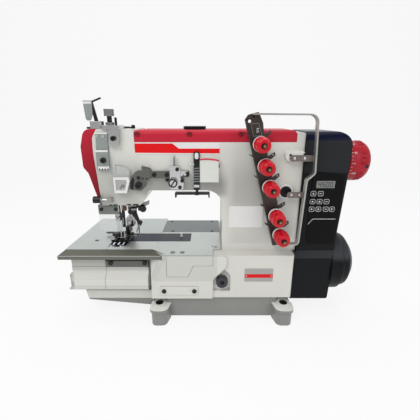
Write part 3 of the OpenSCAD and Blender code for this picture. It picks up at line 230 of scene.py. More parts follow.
# %% Sprayed enamel
def enamel(name, colour, roughness, dust=0.10, coat=0.25, shine=0.5):
    paint = Finish(name, colour, roughness,
                   Coat_Weight=coat, Coat_Roughness=0.18, Specular_IOR_Level=shine)
    paint.soften(0.0012)
    cloud = paint.noise(0.09, 3.0)
    speck = paint.step(paint.noise(0.0016, 1.0), 0.72, 0.80)
    worn = paint.edges(0.0016, 2.5)
    tone = 1 + (cloud - 0.5) * 0.06 - worn * dust - speck * 0.03
    paint.set("Base Color", paint.shade(tone))
    paint.set("Roughness", (roughness + (cloud - 0.5) * 0.12 + worn * 0.08).held())
    paint.bump(paint.noise(0.0014, 1.0), 0.000012, 0.5)
    return paint


white = enamel("white_enamel", (220, 220, 213), 0.38)
pan = enamel("grey_enamel", (140, 140, 137), 0.45)
red = enamel("red_enamel", (188, 34, 55), 0.45, dust=0.18, coat=0.04, shine=0.2)
print("enamels:", ", ".join(finishes))

# %% [markdown]
# The oil pan is one grey casting and the white sump has a grey lower edge; the pan's feet turn
# white on their upward faces, a painted top light. A mask from height and facing keeps both colours
# on one solid. Such masks also paint shade under the arm, on the head, down the column, under the
# edge plate and in the side cover's recess, a painted reflection band across the column's middle,
# and painted shade low on the red face cover; the lower side cover and the block's top are darker.

# %% Two colours on one casting
across, depth, height = (white.axis(letter) for letter in "XYZ")
sump = white.under(across, -0.1286, -0.1284) * white.under(height, 0.0404, 0.0408)
outside = white.under(depth, -0.049, -0.047)
under_arm = (outside * white.within(height, 0.228, 0.244, 0.258, 0.285)
             * white.within(across, -0.150, -0.120, -0.004, 0.016))
head = (outside * white.within(height, 0.200, 0.205, 0.270, 0.320)
        * white.under(across, -0.150, -0.125))
column = (outside * white.within(height, 0.146, 0.150, 0.290, 0.330)
          * white.within(across, -0.004, 0.026, 0.060, 0.105))
waist_reflection = column * white.within(height, 0.190, 0.235, 0.255, 0.305)
covers = white.under(depth, -0.0575, -0.056) * white.under(across, -0.129, -0.128)
low_cover = covers * white.under(height, 0.0715, 0.0725)
high_cover = covers * white.step(height, 0.0925, 0.100)
block_top = (white.under(depth, -0.072, -0.070) * white.step(height, 0.0835, 0.0855)
             * white.within(across, -0.128, -0.127, -0.010, -0.008))
dish = ((across + 0.276) * (1 / 0.0075)).power(2) + ((height - 0.078) * (1 / 0.016)).power(2)
recess = white.under(dish, 0.55, 1.0) * white.under(across, -0.21, -0.2)
# painted shade under the arm, on the head, down the column, under the edge plate and in the finger
# recess, a painted reflection band across the column; the low cover and block top are darker
painted_shade_and_darkening = (under_arm * 0.50 + head * 0.30 + column * 0.14 + waist_reflection * 0.20
         + low_cover * 0.12 + high_cover * 0.28 + block_top * 0.12 + recess * 0.25)
tone = 1 + white.sway(0.09, 3.0, 0.06) - white.edges(0.0016, 2.5) * 0.12 - painted_shade_and_darkening
white.set("Base Color", white.mix(sump, white.shade(tone), (128, 128, 124)))

# painted shade: the red face cover darkens towards its lower end
chin_shade = red.under(red.axis("Z"), 0.235, 0.370) * red.under(red.axis("X"), -0.2, -0.195)
tone = 1.05 + red.sway(0.09, 3.0, 0.06) - red.edges(0.0016, 2.5) * 0.18 - chin_shade * 0.55
red.set("Base Color", red.shade(tone))

# painted top light: the feet's upward faces turn white
lit_foot_tops = pan.step(pan.facing("Z"), 0.35, 0.7) * pan.step(pan.axis("Z"), 0.0200, 0.0220)
pan.set("Base Color", pan.mix(lit_foot_tops, pan.shade(1 + pan.sway(0.05, 3.0, 0.16)), (236, 236, 230)))
print("grime on the castings, white feet on the pan")

# %% [markdown]
# ## Moulded plastic
# The motor housing is charcoal plastic with a fine spark texture; its top is a glossier navy
# moulding. Cells of a Voronoi texture give the spark texture its tiny flat pits.


# %% Grained plastic
def moulded(name, colour, roughness, grain=0.0007, depth=0.00002, coat=0.0, shine=0.5):
    plastic = Finish(name, colour, roughness,
                     Coat_Weight=coat, Coat_Roughness=0.12, Specular_IOR_Level=shine)
    plastic.soften(0.0008)
    cloud = plastic.noise(0.07, 2.0)
    rubbed = plastic.edges(0.0012, 2.0)
    plastic.set("Base Color", plastic.shade(1 + (cloud - 0.5) * 0.18 + rubbed * 0.35))
    plastic.set("Roughness", (roughness + (cloud - 0.5) * 0.14 - rubbed * 0.08).held())
    plastic.bump(plastic.cells(grain), depth, 0.6)
    return plastic


smooth = 0.000004       # depth of the grain on glass-like plastics, in metres
shell = moulded("charcoal_plastic", (18, 20, 22), 0.42, shine=0.14)
moulded("black_plastic", (14, 14, 15), 0.38, shine=0.25)
moulded("button_plastic", (58, 59, 66), 0.45, shine=0.35)
moulded("red_plastic", (204, 8, 32), 0.30, 0.0012, 0.000006, coat=0.12, shine=0.3)
moulded("wheel_plastic", (172, 24, 42), 0.38, 0.0012, 0.000008, coat=0.06, shine=0.25)
moulded("belt_rubber", (24, 24, 24), 0.75, 0.0010, 0.00004)
moulded("clear_plastic", (226, 232, 232), 0.18, depth=smooth, coat=0.5).set("Alpha", 0.20)
moulded("milky_plastic", (240, 242, 236), 0.35, depth=smooth, coat=0.3).set("Alpha", 0.72)
moulded("cup_glass", (168, 171, 168), 0.22, depth=smooth, coat=0.4)
print("plastics:", ", ".join(list(finishes)[3:]))

# %% Navy top of the motor housing
navy = shell.step(shell.axis("Z"), 0.3300, 0.3320)
# painted highlight: upward faces low on the housing turn lighter; above 276 mm it is a little
# lighter
ledge_highlight = shell.step(shell.facing("Z"), 0.3, 0.5) * shell.under(shell.axis("Z"), 0.19, 0.20)
upper = shell.step(shell.axis("Z"), 0.276, 0.281)
tone = shell.shade(1 + shell.sway(0.07, 2.0, 0.18) + shell.edges(0.0012, 2.0) * 0.35)
tone = shell.mix((ledge_highlight + upper * 0.35).least(1.0), tone, (58, 61, 65))
shell.set("Base Color", shell.mix(navy, tone, (4, 9, 40)))
shell.set("Roughness", 0.42 - navy * 0.14)
print("navy above 330 mm, and a lighter ledge")

# %% [markdown]
# ## Machined steel
# Ground plates carry long fine scratches along the wheel's travel; turned shafts carry them round
# the axis. Noise squeezed along one axis draws them, and the same signal drives the bump, the tone
# and the roughness, so they agree.

# %% Steel with a lay
ground, turned = (1, 60, 60), (10, 10, 90)      # how much each axis is squeezed for the scratches


def steel(name, colour, roughness, lay=ground, metallic=1.0, depth=0.000008):
    metal = Finish(name, colour, roughness, Metallic=metallic)
    metal.soften(0.0005)
    scratch = metal.noise(0.02, 3.0, lay)
    cloud = metal.noise(0.03, 3.0)
    bright = metal.edges(0.0008, 2.5)
    tone = 1 + (scratch - 0.5) * 0.18 - (cloud - 0.45).most(0) * 0.10 + bright * 0.15
    metal.set("Base Color", metal.shade(tone))
    metal.set("Roughness", (roughness + (scratch - 0.5) * 0.16 + (cloud - 0.5) * 0.12).held())
    metal.bump(scratch, depth, 0.5)
    return metal


steel("ground_steel", (196, 202, 199), 0.38, ground, 0.85, 0.000006)
steel("front_steel", (203, 208, 204), 0.34, ground, 0.85, 0.000006)
# a darker copy of the plate steel: painted shade for the darker reflection on the rear plate
steel("rear_steel", (128, 134, 134), 0.38, ground, 0.85, 0.000006)
blued = steel("blued_steel", (14, 20, 54), 0.40, metallic=0.25)
slope = steel("edge_steel", (104, 104, 95), 0.45, metallic=0.3)
steel("turned_steel", (176, 178, 180), 0.28, turned)
bar = steel("bar_steel", (190, 190, 188), 0.24, turned)
steel("satin_plate", (150, 157, 154), 0.48, (30, 10, 30), 0.35)
steel("dull_steel", (136, 139, 139), 0.45, (10, 60, 10), 0.7)
steel("grey_plate", (124, 127, 123), 0.48, (30, 10, 30), 0.35)
steel("nickel", (204, 204, 204), 0.22, (30, 30, 30), depth=0.000003)
# on the cover strip this dark alloy is painted shade: the silver strip lies in the edge plate's
# shadow
steel("satin_alloy", (106, 106, 102), 0.42, (8, 8, 8), 0.7)
steel("guard_steel", (178, 178, 174), 0.34, (6, 6, 60), 0.8)
steel("brown_sheet", (72, 64, 60), 0.36, (6, 6, 60), 0.6)
steel("strap_sheet", (122, 112, 106), 0.38, (60, 6, 6), 0.6)
steel("black_oxide", (16, 16, 17), 0.34, (20, 20, 20), 0.2)
steel("red_oxide", (120, 16, 30), 0.45, (20, 20, 20), 0.2)
steel("bronze", (176, 138, 84), 0.35, turned)
steel("varnished_core", (120, 84, 56), 0.5, metallic=0.3)
print("metals:", ", ".join(list(finishes)[12:]))

# %% [markdown]
# Three metals need more than one tone. The blued strip fades to slate away from the needles, the
# edge plate is lighter on its front than on its slope, and a polished bar takes a painted
# reflection:
# its flanks, found by its facing, are painted dark on both sides of one bright line.

# %% Strip, edge plate and polished bars
slate = blued.step(blued.axis("X"), -0.170, -0.075)
front_face = slope.under(slope.facing("Y"), -0.97, -0.90)
for metal, mask, over in ((blued, slate, (42, 51, 57)), (slope, front_face, (108, 108, 100))):
    tone = metal.shade(1 + metal.sway(0.02, 3.0, 0.2, ground))
    metal.set("Base Color", metal.mix(mask, tone, over))
# painted reflection: the flanks of the bar, by their facing, are painted dark
side = bar.step(bar.facing("X").size(), 0.30, 0.62)
bar.set("Base Color", bar.shade(1 - side * 0.78 + bar.sway(0.02, 3.0, 0.1, turned)))
print("slate from -75 mm, and dark flanks on the bars")


# %% Film and membrane
def printed(name, colour, roughness, grain=0.003, **look):
    moulded(name, colour, roughness, grain, 0.000002, **look)


printed("white_film", (232, 232, 230), 0.35, coat=0.3)
printed("silver_film", (170, 168, 165), 0.35, coat=0.2)
printed("red_film", (228, 8, 16), 0.38, shine=0.25)
printed("pink_film", (206, 52, 76), 0.38, shine=0.3)
printed("black_membrane", (7, 7, 8), 0.22, 0.004, shine=0.12)
printed("lcd_glass", (122, 126, 122), 0.16, coat=0.4)
printed("lcd_ink", (40, 46, 42), 0.3)
printed("key_film", (16, 17, 20), 0.3, 0.004, shine=0.3)
printed("white_print", (225, 225, 225), 0.5, 0.002)
print(len(finishes), "finishes")

# %% [markdown]
# ## Painting the solids
# Each solid takes one finish. A line for each finish reads like a paint shop's job sheet, and a
# last check shows that no solid was forgotten.

# %% The paint shop's job sheet
# the presser bar takes white film as a painted highlight of its bright steel
job_sheet = """
white_enamel: arm_casting bed_casting block_panel block_cap front_cover side_cover
grey_enamel: oil_pan
red_enamel: top_cover face_cover
charcoal_plastic: motor_housing motor_cap
black_membrane: control_panel
ground_steel: slide_plate
front_steel: front_plate
rear_steel: rear_plate
blued_steel: needle_plate filler_strip
edge_steel: edge_plate
turned_steel: arm_shaft main_shaft presser_spring tension_springs
bar_steel: needle_bar spreader
nickel: needles presser_foot looper main_feed_dog diff_feed_dog pressure_bracket tension_discs
satin_plate: thread_guide
dull_steel: pressure_knob
satin_alloy: guide_rail looper_block feed_guide cover_strip
brown_sheet: tension_bracket
guard_steel: guard_wire
wheel_plastic: hand_wheel
red_plastic: tension_knob_1 tension_knob_2 tension_knob_3 tension_knob_4 tension_knob_5
varnished_core: motor_stator
belt_rubber: timing_belt
bronze: bearings bar_bushes
clear_plastic: oil_cup eye_guard
milky_plastic: thread_shield
black_plastic: filler_cap plugs
button_plastic: stitch_button
white_film: labels presser_bar
black_oxide: screws take_up guide_hanger
"""
painted = set()
for line in job_sheet.split("\n")[1:-1]:
    finish, solids = line.split(": ")
    for solid in solids.split():
        painted.add(solid)
        mesh = nodes[solid].data
        mesh.materials.clear()
        mesh.materials.append(finishes[finish].material)
        for face in mesh.polygons:
            face.material_index = 0
print("painted", len(painted), "solids; left over:", sorted(set(nodes) - painted))

# %% [markdown]
# Some solids carry two finishes, such as a steel strip on a painted pad. The second one goes on by
# the place of each face, in millimetres.

# %% Second finishes
second_finishes = (
    ("guard_wire", "white_enamel", lambda x, y, z: y > -66.1),
    ("guard_wire", "strap_sheet", lambda x, y, z: -68.1 < y <= -66.1 and x < 147
     and (abs(z - 303) < 5.5 or abs(z - 242) < 5.5)),
    ("screws", "red_oxide", lambda x, y, z: z > 335.5 and y < -53 and x > -145),
    ("screws", "nickel", lambda x, y, z: -207 <= x < -196.9 and z < 240),
    ("screws", "white_enamel", lambda x, y, z: -197 <= x < -188 and 226 < z < 237),
    ("pressure_knob", "black_oxide", lambda x, y, z: 358.5 < z < 367.9),
    ("pressure_bracket", "black_oxide", lambda x, y, z: z > 354.5 and x > -182),
    ("take_up", "satin_plate", lambda x, y, z: y < -37.2 and x < -213.5),
    ("eye_guard", "grey_plate", lambda x, y, z: y < -48.2 or z > 217),
    ("presser_bar", "black_oxide", lambda x, y, z: z < 164),
    ("spreader", "black_oxide", lambda x, y, z: z > 178),
    ("presser_foot", "black_oxide", lambda x, y, z: y < -12),
    ("guide_rail", "nickel", lambda x, y, z: -88 < x < -64),
    ("labels", "silver_film", lambda x, y, z: y < -70),
)
for solid, finish, chosen in second_finishes:
    mesh = nodes[solid].data
    mesh.materials.append(finishes[finish].material)
    faces = [face for face in mesh.polygons if chosen(*(face.center * 1000))]
    for face in faces:
        face.material_index = len(mesh.materials) - 1
    print(len(faces), "faces of", solid, "in", finish)

# %% [markdown]
# ## A kit for small fittings
# Screws, rings, clips and printed marks are too many to model one by one. A class keeps a mesh in
# millimetres and adds slabs from an outline, turned forms from a profile and tubes along a path.
# Most end with a bevel, because no real edge is sharp and the bevel is what catches the light.

# %% A mesh under construction
turns = {"X": lambda a, b, c: (c, a, b), "Y": lambda a, b, c: (a, c, b),
         "Z": lambda a, b, c: (a, b, c)}
sharp_angle = radians(35)       # edges sharper than this stay hard in the shading
made = []


def placed(name, data):
    """A new object in the scene."""
    thing = bpy.data.objects.new(name, data)
    bpy.context.scene.collection.objects.link(thing)
    return thing


class Piece:
    """A fitting in millimetres with a look, a (slot, finish) pair, that rides on one body."""

    def __init__(self, name, look, body="machine"):
        self.name, self.body = name, body
        self.slot, self.finish = look
        self.mesh = bmesh.new()

    def skin(self, rings, closed=False):
        """Joins rings of equally many points, and caps the two ends unless they meet."""
        loops = [[self.mesh.verts.new(Vector(p) / 1000) for p in ring] for ring in rings]
        for a, b in list(zip(loops, loops[1:])) + ([(loops[-1], loops[0])] if closed else []):
            for i in range(len(a)):
                j = (i + 1) % len(a)
                self.mesh.faces.new((a[i], a[j], b[j], b[i]))
        if not closed:
            self.mesh.faces.new(loops[0][::-1])
            self.mesh.faces.new(loops[-1])
        return self

    def slab(self, outline, low, high, facing="Y"):
        """An outline across one axis, made solid from low to high along it."""
        put = turns[facing]
        return self.skin([[put(a, b, c) for a, b in outline] for c in (low, high)])

    def turned(self, profile, centre, sides=24, facing="Y", wave=None, closed=False):
        """A profile of (radius, height) round an axis; wave(angle) scales the radius."""
        rings = []
        for radius, height in profile:
            ring = []
            for angle in (2 * pi * k / sides for k in range(sides)):
                r = radius * (wave(angle) if wave else 1)
                off = turns[facing](r * cos(angle), r * sin(angle), height)
                ring.append([a + b for a, b in zip(centre, off)])
            rings.append(ring)
        return self.skin(rings, closed)

    def frame(self, outer, inner, low, high):
        """A flat frame facing Y between two outlines of equally many points."""
        return self.skin([[(a, c, b) for a, b in outline] for outline, c in
                          ((outer, low), (outer, high), (inner, high), (inner, low))], True)

    def tube(self, path, radius, sides=10):
        """A round bar along a path of points."""
        points, rings = [Vector(p) for p in path], []
        angles = [2 * pi * i / sides for i in range(sides)]
        for k, point in enumerate(points):
            ends = points[max(k - 1, 0)], points[min(k + 1, len(points) - 1)]
            along = (ends[1] - ends[0]).normalized()
            if k == 0:
                across = along.orthogonal().normalized()
            across = (across - along * across.dot(along)).normalized()
            other = along.cross(across)
            rings.append([point + (across * cos(a) + other * sin(a)) * radius
                          for a in angles])
        return self.skin(rings)

    def done(self, bevel=0.25):
        """Turns the mesh into an object with its finish, bevel and body."""
        bmesh.ops.recalc_face_normals(self.mesh, faces=self.mesh.faces)
        data = bpy.data.meshes.new(self.name)
        self.mesh.to_mesh(data)
        self.mesh.free()
        data.shade_smooth()
        data.set_sharp_from_angle(angle=sharp_angle)
        data.materials.append(finishes[self.finish].material)
        thing = placed(self.name, data)
        if bevel:
            soft = thing.modifiers.new("soft_edges", "BEVEL")
            soft.width, soft.segments, soft.limit_method = bevel / 1000, 2, "ANGLE"
        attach(thing, self.body)
        made.append(thing)
        return thing


def block(a0, b0, a1, b1, r=0.0):
    """A rectangle's outline with rounded corners."""
    if not r:
        return [(a0, b0), (a1, b0), (a1, b1), (a0, b1)]
    corners = ((a1 - r, b0 + r, -90), (a1 - r, b1 - r, 0), (a0 + r, b1 - r, 90),
               (a0 + r, b0 + r, 180))
    return [(a + r * cos(radians(start + turn)), b + r * sin(radians(start + turn)))
            for a, b, start in corners for turn in (0, 22.5, 45, 67.5, 90)]


def mm(node):
    """A solid's low and high corners in millimetres."""
    return [Vector(corner) * 1000 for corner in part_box(node)]


arm_low, arm_high = mm("arm_casting")
front = arm_low.y
print("kit ready; the arm's front is at Y", round(front, 2), "mm")

# %% The looks of most fittings
black, bright = ("black_screw", "black_oxide"), ("bright_steel", "nickel")
dull, sheet = ("shaft_steel", "dull_steel"), ("dark_sheet", "dull_steel")
film, ink = ("label_film", "white_film"), ("label_film", "white_print")
cap, enamelled = ("black_cap", "black_plastic"), ("white_paint", "white_enamel")
print("a look is a slot and a finish, such as", black)

# %% [markdown]
# ## Screws
# A cap screw has a chamfered head and a hexagon socket that reads as a dark dot from afar. It is
# turned, and inside the socket its radius follows a hexagon.


# %% Screw heads with a socket or a slot
def hexagon(angle):
    half = radians(30)
    return cos(half) / cos((angle % radians(60)) - half)


def screw(piece, centre, d=6.0, h=2.0, out=-1, sunk=1.2):
    """A head with a socket on its seat at centre, which stands out along Y times out."""
    r = d / 2
    piece.turned([(r, 0), (r, out * (h - 0.4)), (r - 0.4, out * h), (r * 0.52, out * h)], centre)
    cup = Vector(centre) + Vector((0, out * h, 0))
    return piece.turned([(r * 0.5, 0.02 * out), (r * 0.5, -out * sunk), (r * 0.2, -out * sunk)],
                        cup, wave=hexagon)


def slotted(piece, centre, d, h):
    """A flat head facing up, with a straight slot 0.6 mm wide cut across it."""
    for side in (-1, 1):
        half = [(d / 2 * cos(a), side * (0.3 + (d / 2 - 0.3) * sin(a)))
                for a in map(radians, range(0, 181, 15))]
        piece.skin([[Vector(centre) + Vector((a, b, c)) for a, b in half] for c in (0, h)])


# each stroke runs from one place to another, counted in half heights across and up
strokes = {"a": "0212", "b": "1112", "c": "1011", "d": "0010", "e": "0001", "f": "0102",
           "g": "0111"}
digits = "abcdef bc abged abgcd fgbc afgcd afgedc abc abcdefg abcdfg".split()


def digit(piece, value, origin, right, up, height, stroke, lift=0.12):
    """A numeral from straight strokes on any plane."""
    right, up, origin = Vector(right), Vector(up), Vector(origin)
    out = right.cross(up) * lift
    for key in digits[value]:
        a, b, c, d = map(int, strokes[key])
        p = origin + right * (a * height * 0.5) + up * (b * height / 2)
        q = origin + right * (c * height * 0.5) + up * (d * height / 2)
        along = (q - p).normalized()
        side = along.cross(right.cross(up)) * stroke
        along = along * stroke
        ring = [p - side - along, p + side - along, q + side + along, q - side + along]
        piece.skin([[v - out for v in ring], [v + out for v in ring]])


right_way, up_way = (1, 0, 0), (0, 0, 1)
print("screws and numerals ready")

# %% [markdown]
# ## Cloth plates
# Countersunk screws hold the plates, and the filler strip has a little pull pin. Slotted heads a
# third of a millimetre proud are enough.

# %% Screws, slots and the pull pin of the plates
deck = mm("slide_plate")[1].z
part = Piece("plate_screws", black)
for x, y in ((-109, 90), (-17, 90), (-100, 31), (-17, 31)):
    slotted(part, (x, y, deck), 6.5, 0.3)
part.done(0.1)
part = Piece("front_plate_screws", dull)
for x in (-88, -71):
    slotted(part, (x, -70, deck), 9, 0.25)
part.turned([(1.4, 0), (1.4, 0.2), (1.0, 0.25)], (-122, -28, deck), 16, "Z").done(0.08)
part = Piece("slide_plate_slot", black, "slide_cover")
part.slab(block(-246.5, -20.5, -239, -14.5, 2.4), deck, deck + 0.2, "Z").done(0.08)
part = Piece("plate_latch", black)
part.slab(block(-17.6, -47, -16.4, -41, 0.4), deck, deck + 0.5, "Z")
part.slab(block(-14, -48.5, -8.5, -46, 0.8), deck, deck + 0.5, "Z").done(0.1)
strip_end = mm("filler_strip")[1]
part = Piece("strip_pin", ("bright_steel", "white_film"))
part.turned([(2.7, -1), (2.7, 0.6), (2.2, 1.4), (1.5, 2.4), (1.6, 3.6), (2.7, 4.4), (2.9, 6.0),
             (2.2, 7.2)], (strip_end.x - 19, strip_end.y - 14, deck), facing="Z").done(0.15)
part = Piece("needle_plate_tabs", bright)
low, high = mm("needle_plate")
for x in (low.x + 1, high.x - 11):
    part.slab(block(x, low.y + 0.4, x + 10, low.y + 6, 1.2), deck, deck + 0.35, "Z")
part.done(0.1)
print("plate fittings on a deck at", round(deck, 2), "mm")

# %% [markdown]
# ## Presser foot
# The foot is a hinged sole with springs and a clamp screw on its shank. The CAD model has the sole
# and the shank; these are the wires and screws that make it look busy close up.

# %% Foot fittings
sole_low, sole_high = mm("presser_foot")
bar_low, bar_high = mm("presser_bar")
bar_x = (bar_low.x + bar_high.x) / 2
top = sole_low.z + 3
part = Piece("foot_springs", black, "foot")
part.slab([(-233, 9), (-228, 5), (-216, 7), (-209, 2), (-209, 7), (-216, 12), (-228, 13)],
          top + 0.6, top + 2.4, "Z")
part.slab([(-216, -4), (-209, -8), (-205, -8), (-205, 6), (-212, 6)], top, top + 5, "Z")
part.slab([(-182, -7), (-177, -7), (-175, 4), (-182, 4)], top, top + 5, "Z")
for x in (-203, -196.5, -187):
    part.slab([(-9, top), (2, top), (1, top + 8), (-6, top + 9)], x, x + 2.6, "X")
screw(part, (-200, -9, top + 4), 4.5).done(0.3)
part = Piece("foot_toe", bright, "foot")
part.slab([(-186, -9), (-172, -6), (-166, -3.5), (-173, -3), (-186, -5)],
          top + 0.4, top + 1.2, "Z").done(0)
part = Piece("shank_screw", bright, "presser_unit")
screw(part, (bar_x - 1, bar_low.y + 7, bar_low.z + 24), 7, 4)
part.turned([(5.6, 0), (5.6, 3), (5.0, 3.6)], (bar_x, bar_high.y - 7.5, bar_low.z + 40), facing="Z")
part.done(0.2)
low, high = mm("needle_bar")
part = Piece("needle_clamp_screws", black, "needle_unit")
for k in (-1, 0, 1):
    seat = ((low.x + high.x) / 2 + 3.2 * k, low.y + 0.4, low.z + 6 + 2 * abs(k))
    screw(part, seat, 2.6, 1.6, sunk=0.7)
part.done(0.1)
print("foot between X", round(sole_low.x), "and", round(sole_high.x), "mm")

# %% [markdown]
# ## Presser spring
# A coil round the bar pushes the foot down from inside the head. It stands for the CAD model's
# plain sleeve.

# %% A coil round the presser bar
coil_low, coil_high = mm("presser_spring")
coil_middle, coil_length = (coil_low + coil_high) / 2, coil_high.z - coil_low.z
wire, coil_turns, steps_a_turn = 0.75, 17, 20
coil_steps = coil_turns * steps_a_turn
coil_radius = (coil_high.x - coil_low.x) / 2 - wire
path = []
for k in range(coil_steps + 1):
    angle = 2 * pi * k / steps_a_turn
    path.append((coil_middle.x + coil_radius * cos(angle),
                 coil_middle.y + coil_radius * sin(angle),
                 coil_low.z + wire + (coil_length - 2 * wire) * k / coil_steps))
coil = Piece("presser_coil", ("shaft_steel", "turned_steel")).tube(path, wire, 8).done(0)
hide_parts("presser_spring")
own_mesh(coil)

# %% [markdown]
# ## Head of the arm
# Under the head sit a guide bracket, needle guards and the spreader's clamp. On its top a domed
# sight glass shows the oil splash, and small studs guide the threads down to the take-up.

# %% Head fittings
under = mm("eye_guard")[1].z
part = Piece("sight_lens", cap)
part.turned([(12.6, -1.9), (12.8, -0.6), (11.4, 0.2), (7.6, 0.9), (3.6, 1.2), (0.5, 1.3)],
            (-171, -8, arm_high.z + 1.9), 32, "Z")
part.turned([(3.2, 0), (3.2, 4.6), (2.4, 5.8), (0.4, 6.2)], (-152, -26, arm_high.z), 20, "Z")
part.turned([(4.0, 0), (4.0, 2.2), (3.2, 3.0)], (-223.5, -35, arm_high.z), 20, "Z").done(0.2)
part = Piece("under_head_bracket", ("bright_steel", "satin_plate"))
part.slab([(-146, under - 0.1), (-133, under + 4.5), (-129, under + 6), (-130, under - 1),
           (-136, under - 4), (-146, under - 5)], front + 9, front + 13)
part.slab(block(-160.3, 210.4, -151.4, 213, 0.8), front + 2, front + 4.4)
part.slab([(-166, under - 6), (-152, under - 4), (-152, under - 1), (-166, under - 2)],
          front + 8, front + 11).done()
part = Piece("under_head_screws", black)
screw(part, (-140.5, front + 9, under - 8.5), 12, 4, sunk=2)
screw(part, (-160, front + 8, under - 8), 6, 3)
part.slab(block(-150, under - 13, -138, under - 0.1, 2), front + 9, front + 14)
part.slab([(-165, under - 0.1), (-152, under - 0.1), (-150, under - 7), (-156, under - 13),
           (-161, under - 8)], front + 15, front + 22)
for x, w in ((-203, 5), (-196, 7)):
    part.slab(block(x, under - 1.8, x + w, under + 0.05, 0.5), front + 2, front + 6)
part.done()
part = Piece("oil_wick_holder", ("bronze", "varnished_core"))
part.slab(block(-181, 202.5, -175.2, under - 0.1, 1.2), -32, -28).done(0.3)
part = Piece("needle_guard_bar", black)
part.slab([(-190.5, under - 0.1), (-185.5, under - 0.1), (-186.6, 162), (-192.4, 162)], -10, -6)
part.done(0.4)
part = Piece("needle_guard_edge", bright)
part.slab([(-188.8, under - 1), (-187.8, under - 1), (-189.2, 166), (-190.2, 166)], -10.4, -9.8)
part.slab(block(-174, 201.5, -170.2, under - 0.1, 0.8), -31, -27).done(0.1)
part = Piece("head_edge_slots", black)
for x0, x1, z1 in ((-197, -192.6, 221.8), (-189.6, -182, 221.8), (-166, -159, 222.6),
                   (-156, -146, 222.6)):
    part.slab(block(x0, 220.2, x1, z1, 0.5), front - 0.2, front + 0.5)
part.done(0)
part = Piece("spreader_screw", black, "spreader_unit")
screw(part, (-150, -34, 181.6), 7.5, 4)
part.tube([(-164.7, -33, 199), (-155.2, -33, 183.5)], 2.1, 12)
part.tube([(-153.7, -33, 182), (-154.2, -33, 160), (-157, -33, 156.6), (-167, -33, 156.2)], 0.9, 8)
part.done(0.2)
part = Piece("spreader_joint", bright, "spreader_unit")
part.turned([(2.4, 0), (2.4, -4.6), (1.8, -5.2)], (-154, -32, 180.5), 20).done(0.2)
part = Piece("thread_eyes", bright)
for x, z in ((-203, 337), (-193, 337), (-197.5, 309)):
    part.turned([(2.2, 0), (2.2, -1.0), (1.2, -1.2), (1.2, -0.6)], (x, front - 4, z), 16)
part.done(0.15)
part = Piece("guide_bands", film)
for corners, y in (((-207.6, 312.4, -187.6, 315.4), 6.25), ((-205.6, 340.6, -186, 342.8), 4.25),
                   ((-206.4, 283.6, -188, 288.8), 6.25)):
    part.slab(block(*corners, 0.3), front - y, front - (y - 0.35))
part.done(0.1)
part = Piece("guide_notches", black)
for k in range(4):
    part.slab([(-205.4 + 4.6 * k, 283), (-202.8 + 4.6 * k, 283), (-203.2 + 4.6 * k, 285.6),
               (-204.2 + 4.6 * k, 286.2)], front - 6.5, front - 6.1)
part.done(0)
part = Piece("lever_band", film, "take_up_unit")
part.slab([(-227.4, 387), (-214.6, 387), (-214.2, 390.6), (-227.8, 390.6)], -37.75, -37.45)
part.done(0.1)
print("head underside at", round(under, 1), "mm")

# %% [markdown]
# ## Thread rail, hanger and shield
# The thread runs from the tension block along the rail, carried by a ring, a loop and a hook. The
# shield is a bent sheet of clear plastic with a red edge strip.

# %% Frame and window of the oil cup
cup_front = mm("oil_cup")[0].y
opening = [(-178.6, 249.4), (-164.4, 249.4), (-159.6, 263.4), (-161.2, 267.2), (-178.6, 267.2)]
part = Piece("oil_cup_frame", ("white_paint", "white_film"))
part.frame([(-181.6, 244.6), (-161.2, 244.6), (-154.6, 266), (-156.6, 271.6), (-181.8, 271.6)],
           opening, cup_front - 1.2, cup_front + 0.4).done(0.5)
part = Piece("oil_cup_window", ("clear_plastic", "cup_glass"))
part.slab(opening, cup_front + 0.2, cup_front + 1.0).done(0.05)
# painted reflection: a dark tube in the window of the cup
reflection_path = ((-171.5, 252.4), (-168.5, 258), (-165.4, 259), (-166.4, 253.5))
Piece("oil_cup_dark_reflection", sheet).tube([(x, cup_front, z) for x, z in reflection_path], 1.0, 8).done(0)
print("oil cup glazed")

# %% Rail, hanger and shield fittings
part = Piece("rail_fittings", black)
for x, z, d in ((-140.5, 270.2, 6), (-133.7, 269, 3.2), (-127, 269, 3.2)):
    part.turned([(d / 2, 0), (d / 2, -0.6), (d / 2 - 0.5, -0.9)], (x, front - 8, z), 16)
for x, z, d in ((-67.4, 266.4, 6.5), (-71.6, 255, 6)):
    screw(part, (x, front - 12, z), d)
screw(part, (-93.7, front, 265.8), 6, 4)
part.slab([(-155.6, 251), (-151, 249.5), (-147.5, 268), (-150, 271.5), (-155, 262)],
          front - 8.4, front - 7.9)
around = [(cos(k * pi / 12), sin(k * pi / 12)) for k in range(24)]
part.frame(*([(-82.3 + r * a, 263.2 + r * b) for a, b in around] for r in (7.4, 5.2)),
           front - 18.8, front - 17.9)
part.slab([(-86, 259.6), (-84, 258.6), (-78.6, 266.6), (-80.4, 267.8)], front - 18.7, front - 17.9)
part.slab(block(-62, 272, -56.5, 280, 1), front - 6.5, front - 5.9).done(0.15)
part = Piece("rail_loop", bright)
bow = ((-134, 5, 286), (-133, 9, 290), (-129, 11, 291.5), (-124, 9, 290), (-122, 5, 286))
part.tube([(x, front - out, z) for x, out, z in bow], 1.3)
part.turned([(2.2, -7), (2.2, -8.2), (1.2, -8.4)], (-63, front + 1, 276), 16).done(0.15)
part = Piece("block_guide_pin", dull)
part.turned([(1.5, 0), (1.5, 14), (0.9, 16)], (-80.3, front - 7, 289), 12, "Z").done(0.1)
part = Piece("hanger_eyelet", film)
part.slab(block(-46.6, 300.6, -40.4, 311, 3), front - 4.5, front - 3.9).done(0.1)
part = Piece("hanger_hook", bright)
part.slab(block(-48.6, 253, -39.6, 257.6, 0.6), front - 4.5, front - 3.9)
